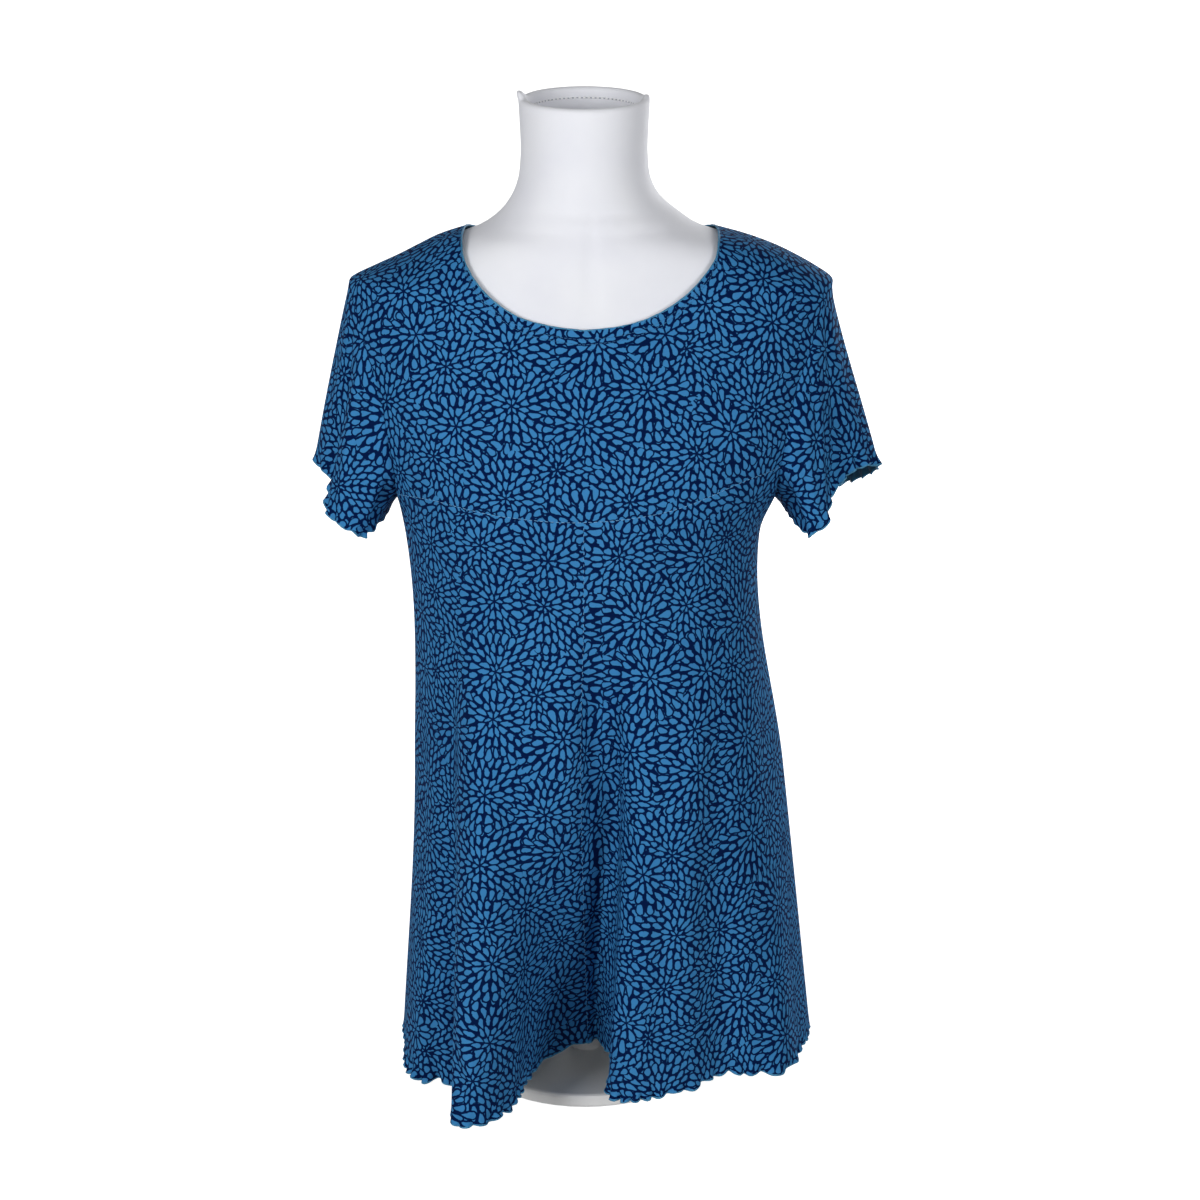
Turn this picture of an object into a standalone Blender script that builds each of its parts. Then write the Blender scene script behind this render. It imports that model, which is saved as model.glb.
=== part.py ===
"""A short-sleeved A-line T-shirt worn by a limbless dress form on a round stand.

Metres, +Z up, front towards -Y, left and right as seen from the front. The origin is
on the floor, below the neck of the form. The shirt is cut in six pieces of jersey: a
front yoke, two lower front panels that meet at a centre seam, one back panel and two
sleeves. Each piece is a thin wall, and neighbours stand a seam gap apart.
"""

import math

import bmesh
import bpy
import numpy as np

# Driving sizes
CLOTH = 0.0012
SEAM_GAP = 0.0004
SHOULDER_TIP = 0.7155
NECK_POINT = 0.7563
UNDERARM = 0.535
FREE_FALL = 0.500
MID_FALL = 0.300
HEM = 0.030
WAVE_STEP = 0.0037
WAVE_SWING = 0.0034
WAVE_ROWS = (0.012, 0.005, 0.0)
WAVE_SHARE = (0.0, 0.42, 1.0)
NECK_WALL = 0.008
NECK_HOLLOW = 0.060
NECK_LIP = 0.003
FORM_BOTTOM = 0.262
POLE_RADIUS = 0.014
POLE_BACK = 0.045
POLE_EDGE = 0.001
POLE_GAP = 0.0003
BASE_RADIUS = 0.100
BASE_BACK = 0.040
BASE_HEIGHT = 0.012
BASE_EDGE = 0.003
NECK_SHARE = 0.66
RIDGE_DENSITY = 1.5
SHOULDER_DENSITY = 1.8
YOKE_COLUMNS = 27
YOKE_ROWS = 11
BACK_ROWS = 12
FALL_ROWS = 13
HEM_COLUMN = 0.016
SLEEVE_ROWS = 8
SLEEVE_DENSITY = 1.2
SLEEVE_HANG = (1.0, 0.8, 1.0)
FORM_COLUMNS = 40
DISC_SIDES = 48
TURN_STEP = 0.8
LEVEL_STEP = 0.001
AROUND_STEP = 0.004
ALONG_STEP = 0.02


def table(columns, *rows):
    """A short table as one array for each named column."""
    return dict(zip(columns.split(), np.array(rows, float).T))


# Horizontal sections of the shirt where the form carries it. Widths are to each side
# of the centre, front and back are distances from the centre plane, side is how far
# back the side point lies, and square fills the section out towards a rectangle.
SHIRT = table(
    "height left right front back side square",
    (0.762, 0.078, 0.088, 0.066, 0.078, 0.012, 0.00),
    (0.757, 0.096, 0.106, 0.068, 0.080, 0.012, 0.00),
    (0.750, 0.119, 0.133, 0.070, 0.082, 0.012, 0.02),
    (0.742, 0.136, 0.156, 0.073, 0.085, 0.012, 0.03),
    (0.733, 0.154, 0.175, 0.076, 0.087, 0.011, 0.04),
    (0.724, 0.174, 0.191, 0.079, 0.089, 0.011, 0.05),
    (0.7155, 0.1915, 0.2033, 0.083, 0.091, 0.010, 0.06),
    (0.705, 0.1965, 0.2060, 0.087, 0.093, 0.009, 0.07),
    (0.690, 0.1980, 0.2065, 0.093, 0.095, 0.008, 0.08),
    (0.665, 0.1965, 0.2040, 0.104, 0.0965, 0.006, 0.10),
    (0.640, 0.1925, 0.1985, 0.115, 0.097, 0.004, 0.12),
    (0.590, 0.1800, 0.1850, 0.131, 0.095, 0.000, 0.15),
    (0.555, 0.1650, 0.1690, 0.136, 0.092, -0.002, 0.16),
    (0.535, 0.1560, 0.1580, 0.136, 0.091, -0.003, 0.16),
    (0.515, 0.1515, 0.1485, 0.1345, 0.090, -0.004, 0.16),
    (0.480, 0.1465, 0.1450, 0.1310, 0.089, -0.006, 0.15),
)

# Horizontal sections of the dress form. Slope tips a section down towards the front.
FORM = table(
    "height left right front back side square slope",
    (0.8575, 0.0525, 0.0525, 0.0575, 0.0500, -0.0035, 0.00, 0.13),
    (0.8380, 0.0515, 0.0515, 0.0570, 0.0500, -0.0030, 0.00, 0.13),
    (0.8150, 0.0512, 0.0512, 0.0565, 0.0510, -0.0020, 0.00, 0.13),
    (0.7950, 0.0540, 0.0545, 0.0570, 0.0560, 0.0000, 0.00, 0.13),
    (0.7800, 0.0610, 0.0640, 0.0590, 0.0640, 0.0050, 0.00, 0.11),
    (0.7680, 0.0710, 0.0790, 0.0615, 0.0720, 0.0090, 0.00, 0.06),
    (0.7570, 0.0880, 0.0975, 0.0635, 0.0765, 0.0120, 0.00, 0.02),
    (0.7500, 0.1070, 0.1210, 0.0660, 0.0785, 0.0120, 0.02, 0.00),
    (0.7420, 0.1250, 0.1450, 0.0695, 0.0815, 0.0120, 0.03, 0.00),
    (0.7330, 0.1430, 0.1640, 0.0725, 0.0835, 0.0110, 0.04, 0.00),
    (0.7240, 0.1610, 0.1780, 0.0755, 0.0855, 0.0110, 0.05, 0.00),
    (0.7140, 0.1790, 0.1910, 0.0795, 0.0875, 0.0100, 0.05, 0.00),
    (0.7000, 0.1850, 0.1950, 0.0855, 0.0905, 0.0090, 0.05, 0.00),
    (0.6700, 0.1820, 0.1900, 0.0985, 0.0925, 0.0060, 0.05, 0.00),
    (0.6400, 0.1740, 0.1800, 0.1105, 0.0930, 0.0040, 0.05, 0.00),
    (0.5900, 0.1580, 0.1620, 0.1265, 0.0905, 0.0000, 0.05, 0.00),
    (0.5500, 0.1450, 0.1480, 0.1310, 0.0870, -0.0020, 0.06, 0.00),
    (0.5150, 0.1390, 0.1390, 0.1245, 0.0790, -0.0020, 0.06, 0.00),
    (0.4700, 0.1260, 0.1260, 0.1060, 0.0660, 0.0000, 0.05, 0.00),
    (0.4200, 0.1190, 0.1200, 0.0920, 0.0620, 0.0000, 0.05, 0.00),
    (0.3700, 0.1240, 0.1270, 0.0900, 0.0700, 0.0000, 0.05, 0.00),
    (0.3200, 0.1320, 0.1400, 0.0930, 0.0800, 0.0000, 0.05, 0.00),
    (0.2800, 0.1330, 0.1450, 0.0900, 0.0850, 0.0000, 0.05, 0.00),
    (0.2680, 0.1300, 0.1420, 0.0870, 0.0820, 0.0000, 0.05, 0.00),
    (0.2620, 0.1220, 0.1340, 0.0800, 0.0750, 0.0000, 0.05, 0.00),
)

# The neck opening, in millimetres as seen from the front: its distance to the left and
# right of the centre. Turn goes from 0 in front by the shoulder seams at 90 to the back.
NECKLINE = table(
    "turn left right height",
    (0, 0, 0, 685.5),
    (13, 26, 29, 688.5),
    (24, 50, 52, 694.5),
    (36, 71, 75, 706.5),
    (48, 87, 93, 722.0),
    (59, 96.5, 105.5, 738.0),
    (68, 98.6, 108.4, 749.0),
    (79, 99.0, 109.3, 754.0),
    (90, 98.2, 108.7, 756.3),
    (102, 95.3, 105.5, 754.6),
    (115, 90, 98, 751.5),
    (130, 77, 83, 745.5),
    (147, 53, 57, 740.5),
    (163, 27, 29, 738.5),
    (180, 0, 0, 738.0),
)

# The armhole seam, once around from the shoulder tip by the front and the underarm.
ARMHOLE = table(
    "around height angle",
    (0.00, 0.7155, 90),
    (0.05, 0.7090, 77),
    (0.11, 0.6920, 69),
    (0.20, 0.6600, 63),
    (0.28, 0.6270, 60),
    (0.36, 0.5910, 61),
    (0.43, 0.5600, 67),
    (0.47, 0.5430, 77),
    (0.50, 0.5350, 90),
    (0.53, 0.5430, 103),
    (0.57, 0.5610, 112),
    (0.64, 0.5950, 117),
    (0.72, 0.6330, 118),
    (0.80, 0.6660, 115),
    (0.89, 0.6940, 109),
    (0.95, 0.7090, 102),
    (1.00, 0.7155, 90),
)

# The seam below the bust, as height by direction. It dips in the middle, and both its
# ends lie on the armholes, at these places around them.
YOKE_SEAM = table(
    "angle height",
    (-48, 0.5500),
    (-24, 0.5430),
    (0, 0.5400),
    (24, 0.5470),
    (48, 0.5660),
)
YOKE_END_LEFT = 0.466
YOKE_END_RIGHT = 0.404

# What hangs free below the bust: one row for each ridge, hollow or edge of the falling
# folds, in millimetres. Angle is where it leaves the body, then come its place at
# mid-fall and its place and height at the hem.
FALL = table(
    "angle mid_x mid_y hem_x hem_y hem_z",
    (0, -2, -127, 2, -28, 48),  # centre seam
    (6, 16, -111, 12, -26, 48),  # floor of the deep centre fold
    (10, 27, -113, 25, -72, 48),  # its right wall
    (14, 34, -131, 20, -125, 48),  # edge of the right fold
    (19, 46, -140, 33, -141, 46),
    (28, 70, -139, 62, -136, 49),  # crest of the right fold
    (38, 92, -131, 90, -125, 50),
    (48, 111, -116, 114, -103, 53),  # soft dip beside it
    (60, 131, -98, 142, -98, 51),
    (72, 150, -72, 175, -84, 48),  # right front corner
    (81, 163, -40, 186, -48, 48),
    (90, 170, -6, 198, -8, 48),  # right side
    (104, 163, 38, 194, 46, 47),
    (120, 141, 76, 168, 92, 45),
    (134, 108, 95, 131, 118, 43),  # right back fold
    (146, 80, 98, 98, 108, 43),
    (158, 50, 104, 62, 126, 41),
    (170, 20, 108, 24, 138, 40),  # middle back fold
    (182, -10, 100, -14, 110, 41),
    (194, -40, 102, -50, 120, 39),
    (206, -68, 106, -84, 136, 37),  # left back fold
    (222, -104, 92, -118, 110, 36),
    (238, -131, 66, -148, 86, 35),
    (254, -145, 34, -164, 44, 33),
    (270, -147, 0, -160, 0, 33),  # left side
    (282, -142, -30, -156, -42, 33),
    (294, -131, -58, -144, -72, 33),
    (306, -119, -76, -122, -78, 34),  # hollow before the left fold
    (313, -107, -92, -101, -92, 33),
    (318, -103, -118, -111, -142, 33),  # edge of the left fold
    (324, -92, -137, -100, -158, 31),
    (331, -74, -142, -80, -150, 32),  # crest of the left fold
    (338, -54, -137, -62, -126, 33),
    (344, -40, -137, -50, -82, 37),
    (351, -22, -136, -32, -44, 42),  # left wall of the centre fold
)

# The sleeves, one row for each ridge or hollow around them, in millimetres: where it
# starts on the armhole, how it sets off from there, and its place at the cuff.
SLEEVE_LEFT = table(
    "around go_x go_y go_z cuff_x cuff_y cuff_z",
    (0.00, -12, 0, -30, -226, 2, 563),  # outer fold
    (0.07, -14, -12, -60, -219, -18, 559),
    (0.13, -24, -20, -90, -208, -27, 549),  # tuck behind the front edge
    (0.18, -28, -26, -90, -213, -48, 534),  # front edge
    (0.24, -30, -26, -90, -203, -64, 525),
    (0.31, -28, -24, -80, -189, -68, 517),
    (0.37, -26, -16, -60, -179, -58, 510),  # front ridge
    (0.43, -22, 0, -40, -171, -28, 515),
    (0.50, -20, 6, -20, -166, 4, 519),  # underarm
    (0.58, -24, 14, -40, -174, 36, 519),
    (0.68, -28, 24, -80, -190, 60, 524),
    (0.80, -28, 22, -90, -212, 56, 537),
    (0.91, -14, 12, -60, -225, 30, 552),
)
SLEEVE_RIGHT = table(
    "around go_x go_y go_z cuff_x cuff_y cuff_z",
    (0.00, -6, 0, -60, 247, 4, 557),  # outer fold
    (0.08, 4, -10, -80, 234, -20, 563),
    (0.14, 24, -18, -90, 217, -32, 557),  # tuck behind the front ridge
    (0.19, 28, -26, -90, 203, -46, 540),  # front ridge
    (0.24, 30, -26, -90, 198, -62, 525),
    (0.31, 28, -24, -80, 191, -68, 518),
    (0.37, 26, -16, -60, 182, -58, 511),
    (0.43, 22, 0, -40, 174, -28, 517),
    (0.50, 20, 6, -20, 169, 6, 522),  # underarm
    (0.58, 24, 14, -40, 178, 38, 520),
    (0.68, 28, 24, -80, 198, 60, 524),
    (0.80, 28, 22, -90, 222, 54, 532),
    (0.91, 6, 12, -70, 240, 30, 544),
)
MILLIMETRE = 0.001


def curve(knots, values, at, turn=None):
    """A smooth curve through values at knots. With turn it closes on itself after that
    much of the knots' unit. Cubic pieces share three-point slopes at the knots."""
    knots = np.asarray(knots, float)
    values = np.asarray(values, float)
    if values.ndim == 1:
        return curve(knots, values[:, None], at, turn)[..., 0]
    at = np.asarray(at, float)
    if turn:
        ring = len(knots)
        if math.isclose(knots[-1] - knots[0], turn):
            ring -= 1
        keep = np.arange(-2, ring + 2)
        knots = knots[keep % ring] + turn * (keep // ring)
        values = values[keep % ring]
        at = knots[2] + np.mod(at - knots[2], turn)
    if knots[0] > knots[-1]:
        knots, values = knots[::-1], values[::-1]
    step = np.diff(knots)[:, None]
    chord = np.diff(values, axis=0) / step
    slope = np.empty_like(values)
    slope[0], slope[-1] = chord[0], chord[-1]
    slope[1:-1] = (chord[:-1] * step[1:] + chord[1:] * step[:-1]) / (step[1:] + step[:-1])
    flat = np.clip(at, knots[0], knots[-1])
    k = np.clip(np.searchsorted(knots, flat, side="right") - 1, 0, len(knots) - 2)
    width = (knots[k + 1] - knots[k])[..., None]
    u = (flat - knots[k])[..., None] / width
    start, end = values[k], values[k + 1]
    leave, arrive = slope[k] * width, slope[k + 1] * width
    bend = 3 * (end - start) - 2 * leave - arrive
    twist = leave + arrive - 2 * (end - start)
    return start + u * (leave + u * (bend + u * twist))


def section(rings, angle, height):
    """A point of the horizontal section at this height, seen from the centre in this
    direction: an ellipse with its own half width to each side and its own depth to the
    front and to the back, filled out by square."""
    names = [name for name in rings if name != "height"]
    columns = np.stack([rings[name] for name in names], axis=1)
    ring = dict(zip(names, np.moveaxis(curve(rings["height"], columns, height), -1, 0)))
    sine, cosine = np.sin(np.radians(angle)), np.cos(np.radians(angle))
    width = np.where(sine < 0, ring["left"], ring["right"])
    depth = np.where(cosine > 0, ring["front"] + ring["side"], ring["back"] - ring["side"])
    x = width * sine
    y = ring["side"] - depth * cosine * (1 + ring["square"] * sine**2)
    z = height + ring.get("slope", 0) * (y - ring["side"])
    return np.stack(np.broadcast_arrays(x, y, z), axis=-1)


def half_width(height, side):
    return curve(SHIRT["height"], SHIRT["right" if side > 0 else "left"], height)


def shirt(angle, level):
    """A point of the body of the shirt. Down to the free fall it is a section, and level
    is its height. From there each line of cloth runs on through its places at mid-fall
    and at the hem."""
    angle, level = np.broadcast_arrays(np.asarray(angle, float), np.asarray(level, float))
    fitted = section(SHIRT, angle, np.maximum(level, FREE_FALL))
    below = level < FREE_FALL
    if not below.any():
        return fitted
    places = [
        np.stack([FALL[x], FALL[y], height], axis=1) * MILLIMETRE
        for x, y, height in (
            ("mid_x", "mid_y", np.full(len(FALL["angle"]), MID_FALL / MILLIMETRE)),
            ("hem_x", "hem_y", FALL["hem_z"]),
        )
    ]
    mid, hem = (curve(FALL["angle"], place, angle, turn=360) for place in places)
    top = section(SHIRT, angle, np.full_like(level, FREE_FALL))
    nudge = 0.004
    leave = (top - section(SHIRT, angle, np.full_like(level, FREE_FALL + nudge))) / nudge
    upper, lower = FREE_FALL - MID_FALL, MID_FALL - HEM
    pass_mid = ((mid - top) / upper * lower + (hem - mid) / lower * upper) / (upper + lower)
    arrive = (hem - mid) / lower
    drop = (FREE_FALL - level)[..., None]
    high = hermite(top, leave * upper, mid, pass_mid * upper, drop / upper)
    low = hermite(mid, pass_mid * lower, hem, arrive * lower, (drop - upper) / lower)
    falling = np.where(drop < upper, high, low)
    return np.where(below[..., None], falling, fitted)


def hermite(start, leave, end, arrive, u):
    """The cubic from start to end that sets off along leave and arrives along arrive."""
    bend = 3 * (end - start) - 2 * leave - arrive
    twist = leave + arrive - 2 * (end - start)
    return start + u * (leave + u * (bend + u * twist))


def facing(surface, u, v, du, dv):
    """The outward direction of a surface, from the cross product of its two slopes."""
    across = surface(u + du, v) - surface(u - du, v)
    down = surface(u, v - dv) - surface(u, v + dv)
    normal = np.cross(down, across)
    return normal / np.linalg.norm(normal, axis=-1, keepdims=True)


def shirt_facing(angle, level):
    level = np.maximum(level, HEM + LEVEL_STEP)
    return facing(shirt, angle, level, TURN_STEP, LEVEL_STEP)


def on_armhole(around, side):
    """Direction and height of a point of the armhole seam on one side."""
    angle = curve(ARMHOLE["around"], ARMHOLE["angle"], around)
    return side * angle, curve(ARMHOLE["around"], ARMHOLE["height"], around)


def sleeve(around, along, side):
    """A point of a sleeve: cubic lines from the armhole seam to the cuff, which set off
    as the table says and hang straight down at the end."""
    fold = SLEEVE_RIGHT if side > 0 else SLEEVE_LEFT
    columns = [
        np.stack([fold[f"{kind}_{axis}"] for axis in "xyz"], axis=1) * MILLIMETRE
        for kind in ("go", "cuff")
    ]
    go, cuff = (curve(fold["around"], column, around, turn=1) for column in columns)
    start = shirt(*on_armhole(around, side))
    hang = (cuff - start) * SLEEVE_HANG
    return hermite(start, go, cuff, hang, np.asarray(along)[..., None])


def sleeve_facing(around, along, side):
    """The outward direction of a sleeve. Its lines run from the seam to the cuff."""
    near = np.clip(along - ALONG_STEP, 0, 1)
    far = np.clip(along + ALONG_STEP, 0, 1)
    down = sleeve(around, far, side) - sleeve(around, near, side)
    ahead = sleeve(np.mod(around + AROUND_STEP, 1), along, side)
    behind = sleeve(np.mod(around - AROUND_STEP, 1), along, side)
    normal = np.cross(ahead - behind, down) * side
    return normal / np.linalg.norm(normal, axis=-1, keepdims=True)


def seam_facing(around, side):
    """Cut edges at the armhole lean halfway between the body and the sleeve."""
    body = shirt_facing(*on_armhole(around, side))
    arm = sleeve_facing(around, np.zeros_like(around), side)
    normal = body + arm
    return normal / np.linalg.norm(normal, axis=-1, keepdims=True)


def stitch(first, second, first_at, second_at):
    """Triangles between two rows of points that run side by side, each at its places."""
    faces, i, j = [], 0, 0
    while i < len(first) - 1 or j < len(second) - 1:
        step_first = j == len(second) - 1 or (
            i < len(first) - 1 and first_at[i + 1] <= second_at[j + 1]
        )
        if step_first:
            faces.append((first[i], first[i + 1], second[j]))
            i += 1
        else:
            faces.append((first[i], second[j + 1], second[j]))
            j += 1
    return faces


def wall(name, rows, material, tube=False):
    """A closed wall of cloth. Each row is (points, outward directions, places along the
    row). The wall reaches half the cloth to both sides. A tube's rows close on
    themselves, and their last point repeats the first."""
    points, layers = [], []
    for way in (1, -1):
        layer = []
        for place, normal, _ in rows:
            row = len(points) + np.arange(len(place))
            points.extend(place + way * normal * CLOTH / 2)
            if tube:
                points.pop()
                row[-1] = row[0]
            layer.append(row.tolist())
        layers.append(layer)
    faces = []
    for layer in layers:
        for k in range(len(rows) - 1):
            above, below = layer[k], layer[k + 1]
            if len(above) == len(below):
                faces += [
                    (above[i], above[i + 1], below[i + 1], below[i])
                    for i in range(len(above) - 1)
                ]
            else:
                faces += stitch(above, below, rows[k][2], rows[k + 1][2])
    outer, inner = layers
    edges = [(outer[0], inner[0]), (outer[-1], inner[-1])]
    if not tube:
        for end in (0, -1):
            edges.append(([row[end] for row in outer], [row[end] for row in inner]))
    for one, other in edges:
        faces += [
            (one[i], one[i + 1], other[i + 1], other[i]) for i in range(len(one) - 1)
        ]
    return solid(name, points, faces, material)


def solid(name, points, faces, material):
    mesh = bpy.data.meshes.new(name)
    mesh.from_pydata([tuple(point) for point in points], [], faces)
    mesh.validate()
    shape = bmesh.new()
    shape.from_mesh(mesh)
    bmesh.ops.recalc_face_normals(shape, faces=shape.faces)
    if shape.calc_volume(signed=True) < 0:
        bmesh.ops.reverse_faces(shape, faces=shape.faces)
    shape.to_mesh(mesh)
    shape.free()
    mesh.shade_smooth()
    mesh.materials.append(material)
    piece = bpy.data.objects.new(name, mesh)
    SHIRT_ON_FORM.objects.link(piece)
    return piece


def set_back(edge, inner, ring=False):
    """The points of an edge, half a seam gap nearer to the row inside it, straight
    across the edge. A ring's last point repeats its first."""
    run = np.gradient(edge, axis=0)
    if ring:
        run[0] = run[-1] = edge[1] - edge[-2]
    run /= np.linalg.norm(run, axis=1, keepdims=True)
    inward = inner - edge
    inward -= (inward * run).sum(axis=1, keepdims=True) * run
    return edge + inward * SEAM_GAP / 2 / np.linalg.norm(inward, axis=1, keepdims=True)


def panel(name, places, outward, rows, material, trims):
    """A wall from a grid of points and outward directions, then the rows of its wavy
    edge if it has one. Trims names the sewn edges, which stop half a seam gap short."""
    places = places.copy()
    for edge in trims:
        first, second = {
            "top": (np.s_[0], np.s_[1]),
            "bottom": (np.s_[-1], np.s_[-2]),
            "start": (np.s_[:, 0], np.s_[:, 1]),
            "end": (np.s_[:, -1], np.s_[:, -2]),
        }[edge]
        places[first] = set_back(places[first], places[second])
    for row, _, _ in rows:
        for edge, end, near in (("start", 0, 1), ("end", -1, -2)):
            if edge in trims:
                inward = row[near] - row[end]
                row[end] += inward * SEAM_GAP / 2 / np.linalg.norm(inward)
    at = np.arange(places.shape[1])
    grid = [(place, normal, at) for place, normal in zip(places, outward)]
    return wall(name, grid + rows, material)


def lettuce(surface, normal, columns, reach):
    """Rows of a wavy edge: a plain row, then two rows of short steps that swing out and
    in, each wave four steps long. Reach gives the second parameter of the surface at
    a distance from the edge."""
    edge = surface(columns, reach(columns, 0))
    lengths = np.linalg.norm(np.diff(edge, axis=0), axis=1)
    steps = 2 * np.maximum(1, np.round(lengths / (2 * WAVE_STEP))).astype(int)
    places = np.concatenate([k + np.arange(n) / n for k, n in enumerate(steps)])
    places = np.append(places, len(steps))
    fine = np.interp(places, np.arange(len(columns)), columns)
    wave = np.sin(np.pi / 2 * np.arange(len(fine)))[:, None]
    rows = []
    for distance, share in zip(WAVE_ROWS, WAVE_SHARE):
        at, place = (fine, places) if share else (columns, np.arange(len(columns)))
        swing = WAVE_SWING * share * wave if share else 0
        out = normal(at, reach(at, distance))
        rows.append((surface(at, reach(at, distance)) + out * swing, out, place))
    return rows


def above_hem(angle, distance):
    return np.full(np.shape(angle), HEM + distance)


def spread(start, end, length, surface_row, *extra):
    """Directions from start to end, with a step at each row of the fall table and at
    each extra direction, and one for about each length of the hem between."""
    start, end = sorted((start, end))
    stops = np.unique(np.concatenate([FALL["angle"] - 360, FALL["angle"], [start, end], extra]))
    stops = stops[(stops >= start) & (stops <= end)]
    angles = [stops[:1]]
    for low, high in zip(stops, stops[1:]):
        run = surface_row(np.linspace(low, high, 9))
        reach = np.linalg.norm(np.diff(run, axis=0), axis=1).sum()
        count = max(1, round(reach / length))
        angles.append(np.linspace(low, high, count + 1)[1:])
    return np.concatenate(angles)


def hem_line(angle):
    return shirt(angle, above_hem(angle, 0))


def seam_knots():
    """The yoke seam with both its ends on the armhole."""
    left, left_height = on_armhole(YOKE_END_LEFT, -1)
    right, right_height = on_armhole(YOKE_END_RIGHT, 1)
    angle = np.concatenate([[left], YOKE_SEAM["angle"], [right]])
    height = np.concatenate([[left_height], YOKE_SEAM["height"], [right_height]])
    return angle, height


def yoke_seam(angle):
    return curve(*seam_knots(), angle)


def top_edge(share, back):
    """Place to the side and height, as seen from the front, along the top of a panel
    from the left shoulder tip (-1) by the neckline to the right shoulder tip (1)."""
    size = np.abs(share)
    turn = np.clip(size / NECK_SHARE, 0, 1) * 90
    columns = [NECKLINE["left"], NECKLINE["right"], NECKLINE["height"]]
    columns = np.stack(columns, axis=1) * MILLIMETRE
    left, right, neck = curve(NECKLINE["turn"], columns, 180 - turn if back else turn).T
    along = np.clip((size - NECK_SHARE) / (1 - NECK_SHARE), 0, 1)
    ridge = NECK_POINT + (SHOULDER_TIP - NECK_POINT) * along**RIDGE_DENSITY
    on_ridge = (size > NECK_SHARE) | np.isclose(size, NECK_SHARE)
    left = np.where(on_ridge, half_width(ridge, -1), left)
    right = np.where(on_ridge, half_width(ridge, 1), right)
    return np.where(share < 0, -left, right), np.where(on_ridge, ridge, neck)


def flat_x(angle, height):
    """How far to the side a point is, as seen from the front."""
    side = np.where(np.asarray(angle) < 0, -1.0, 1.0)
    width = np.where(side < 0, half_width(height, -1), half_width(height, 1))
    return width * np.sin(np.radians(angle))


def upper_part(bottom, bottom_height, edges, back):
    """Directions and heights of the rows from the shoulders and the neckline down to a
    bottom row. They run between the two armhole edges, each given as places around
    the armhole, one for each row. Seen from the front, the lines are nearly straight."""
    bottom_x = flat_x(bottom, bottom_height)
    share = np.where(bottom_x < 0, -bottom_x / bottom_x[0], bottom_x / bottom_x[-1])
    top_share = share.copy()
    for side in (-1, 1):
        corner = np.argmin(np.abs(share - side * NECK_SHARE))
        stops = np.array([0, abs(share[corner]), 1])
        mine = share * side > 0
        top_share[mine] = side * np.interp(
            np.abs(share[mine]), stops, [0, NECK_SHARE, 1]
        )
    top_x, top_height = top_edge(top_share, back)
    rows = len(edges[0])
    down = (np.linspace(0, 1, rows) ** SHOULDER_DENSITY)[:, None]
    x = (1 - down) * top_x + down * bottom_x
    height = (1 - down) * top_height + down * bottom_height
    for side, edge, end in ((-1, edges[0], 0), (1, edges[1], -1)):
        turn, level = on_armhole(edge, side)
        if back:
            turn = side * 180 - turn
        edge_x = flat_x(turn, level)
        near = np.where(share * side > 0, np.abs(share) ** 4, 0)
        x = x + near * (edge_x - x[:, end])[:, None]
        height = height + near * (level - height[:, end])[:, None]
    width = np.where(x < 0, half_width(height, -1), half_width(height, 1))
    turn = np.degrees(np.arcsin(np.clip(x / width, -1, 1)))
    return (180 - turn if back else turn), height


def trim_shoulders(places, turn):
    """The grid with its top row half a seam gap lower along both shoulder seams, which
    lie a quarter turn to each side."""
    shoulder = np.isclose(np.abs(turn), 90)
    places[0, shoulder] = set_back(places[0], places[1])[shoulder]
    return places


def add_yoke(material):
    (left, right), rows = (YOKE_END_LEFT, YOKE_END_RIGHT), YOKE_ROWS
    ends = seam_knots()[0]
    bottom = np.linspace(ends[0], ends[-1], YOKE_COLUMNS)
    edges = [np.linspace(0, end, rows) for end in (left, right)]
    angle, height = upper_part(bottom, yoke_seam(bottom), edges, back=False)
    outward = shirt_facing(angle, height)
    outward[:, 0] = seam_facing(edges[0], -1)
    outward[:, -1] = seam_facing(edges[1], 1)
    trims = ("bottom", "start", "end")
    places = trim_shoulders(shirt(angle, height), angle[0])
    panel("front_yoke", places, outward, [], material, trims)


def fall_levels():
    return np.linspace(UNDERARM, HEM + WAVE_ROWS[0], FALL_ROWS)


def front_columns(side):
    """Directions of the lines of cloth of a lower front panel, from the centre seam to
    the side seam, and the place around the armhole that each meets. Lines that meet
    the yoke seam have no such place."""
    end = YOKE_END_RIGHT if side > 0 else YOKE_END_LEFT
    turn = spread(0, 90 * side, HEM_COLUMN, hem_line, on_armhole(end, side)[0])
    fine = np.linspace(end, 0.5, 60)
    around = np.interp(np.abs(turn), on_armhole(fine, 1)[0], fine, left=np.nan)
    return turn, around


def add_front(side, material):
    """A lower front panel, from the yoke seam and the lower armhole to the hem, and from
    the centre seam to the side seam."""
    name = "front_panel_right" if side > 0 else "front_panel_left"
    columns, around = front_columns(side)
    sewn = ~np.isnan(around)
    top = np.where(sewn, on_armhole(np.nan_to_num(around), 1)[1], yoke_seam(columns))
    down = np.linspace(0, 1, FALL_ROWS)[:, None]
    height = (1 - down) * top + down * fall_levels()[-1]
    angle = columns + 0 * height
    outward = shirt_facing(angle, height)
    outward[0, sewn] = seam_facing(around[sewn], side)
    edge_rows = lettuce(shirt, shirt_facing, columns, above_hem)
    places = shirt(angle, height)
    trims = ("top", "start", "end")
    panel(name, places[:-1], outward[:-1], edge_rows, material, trims)


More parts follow.
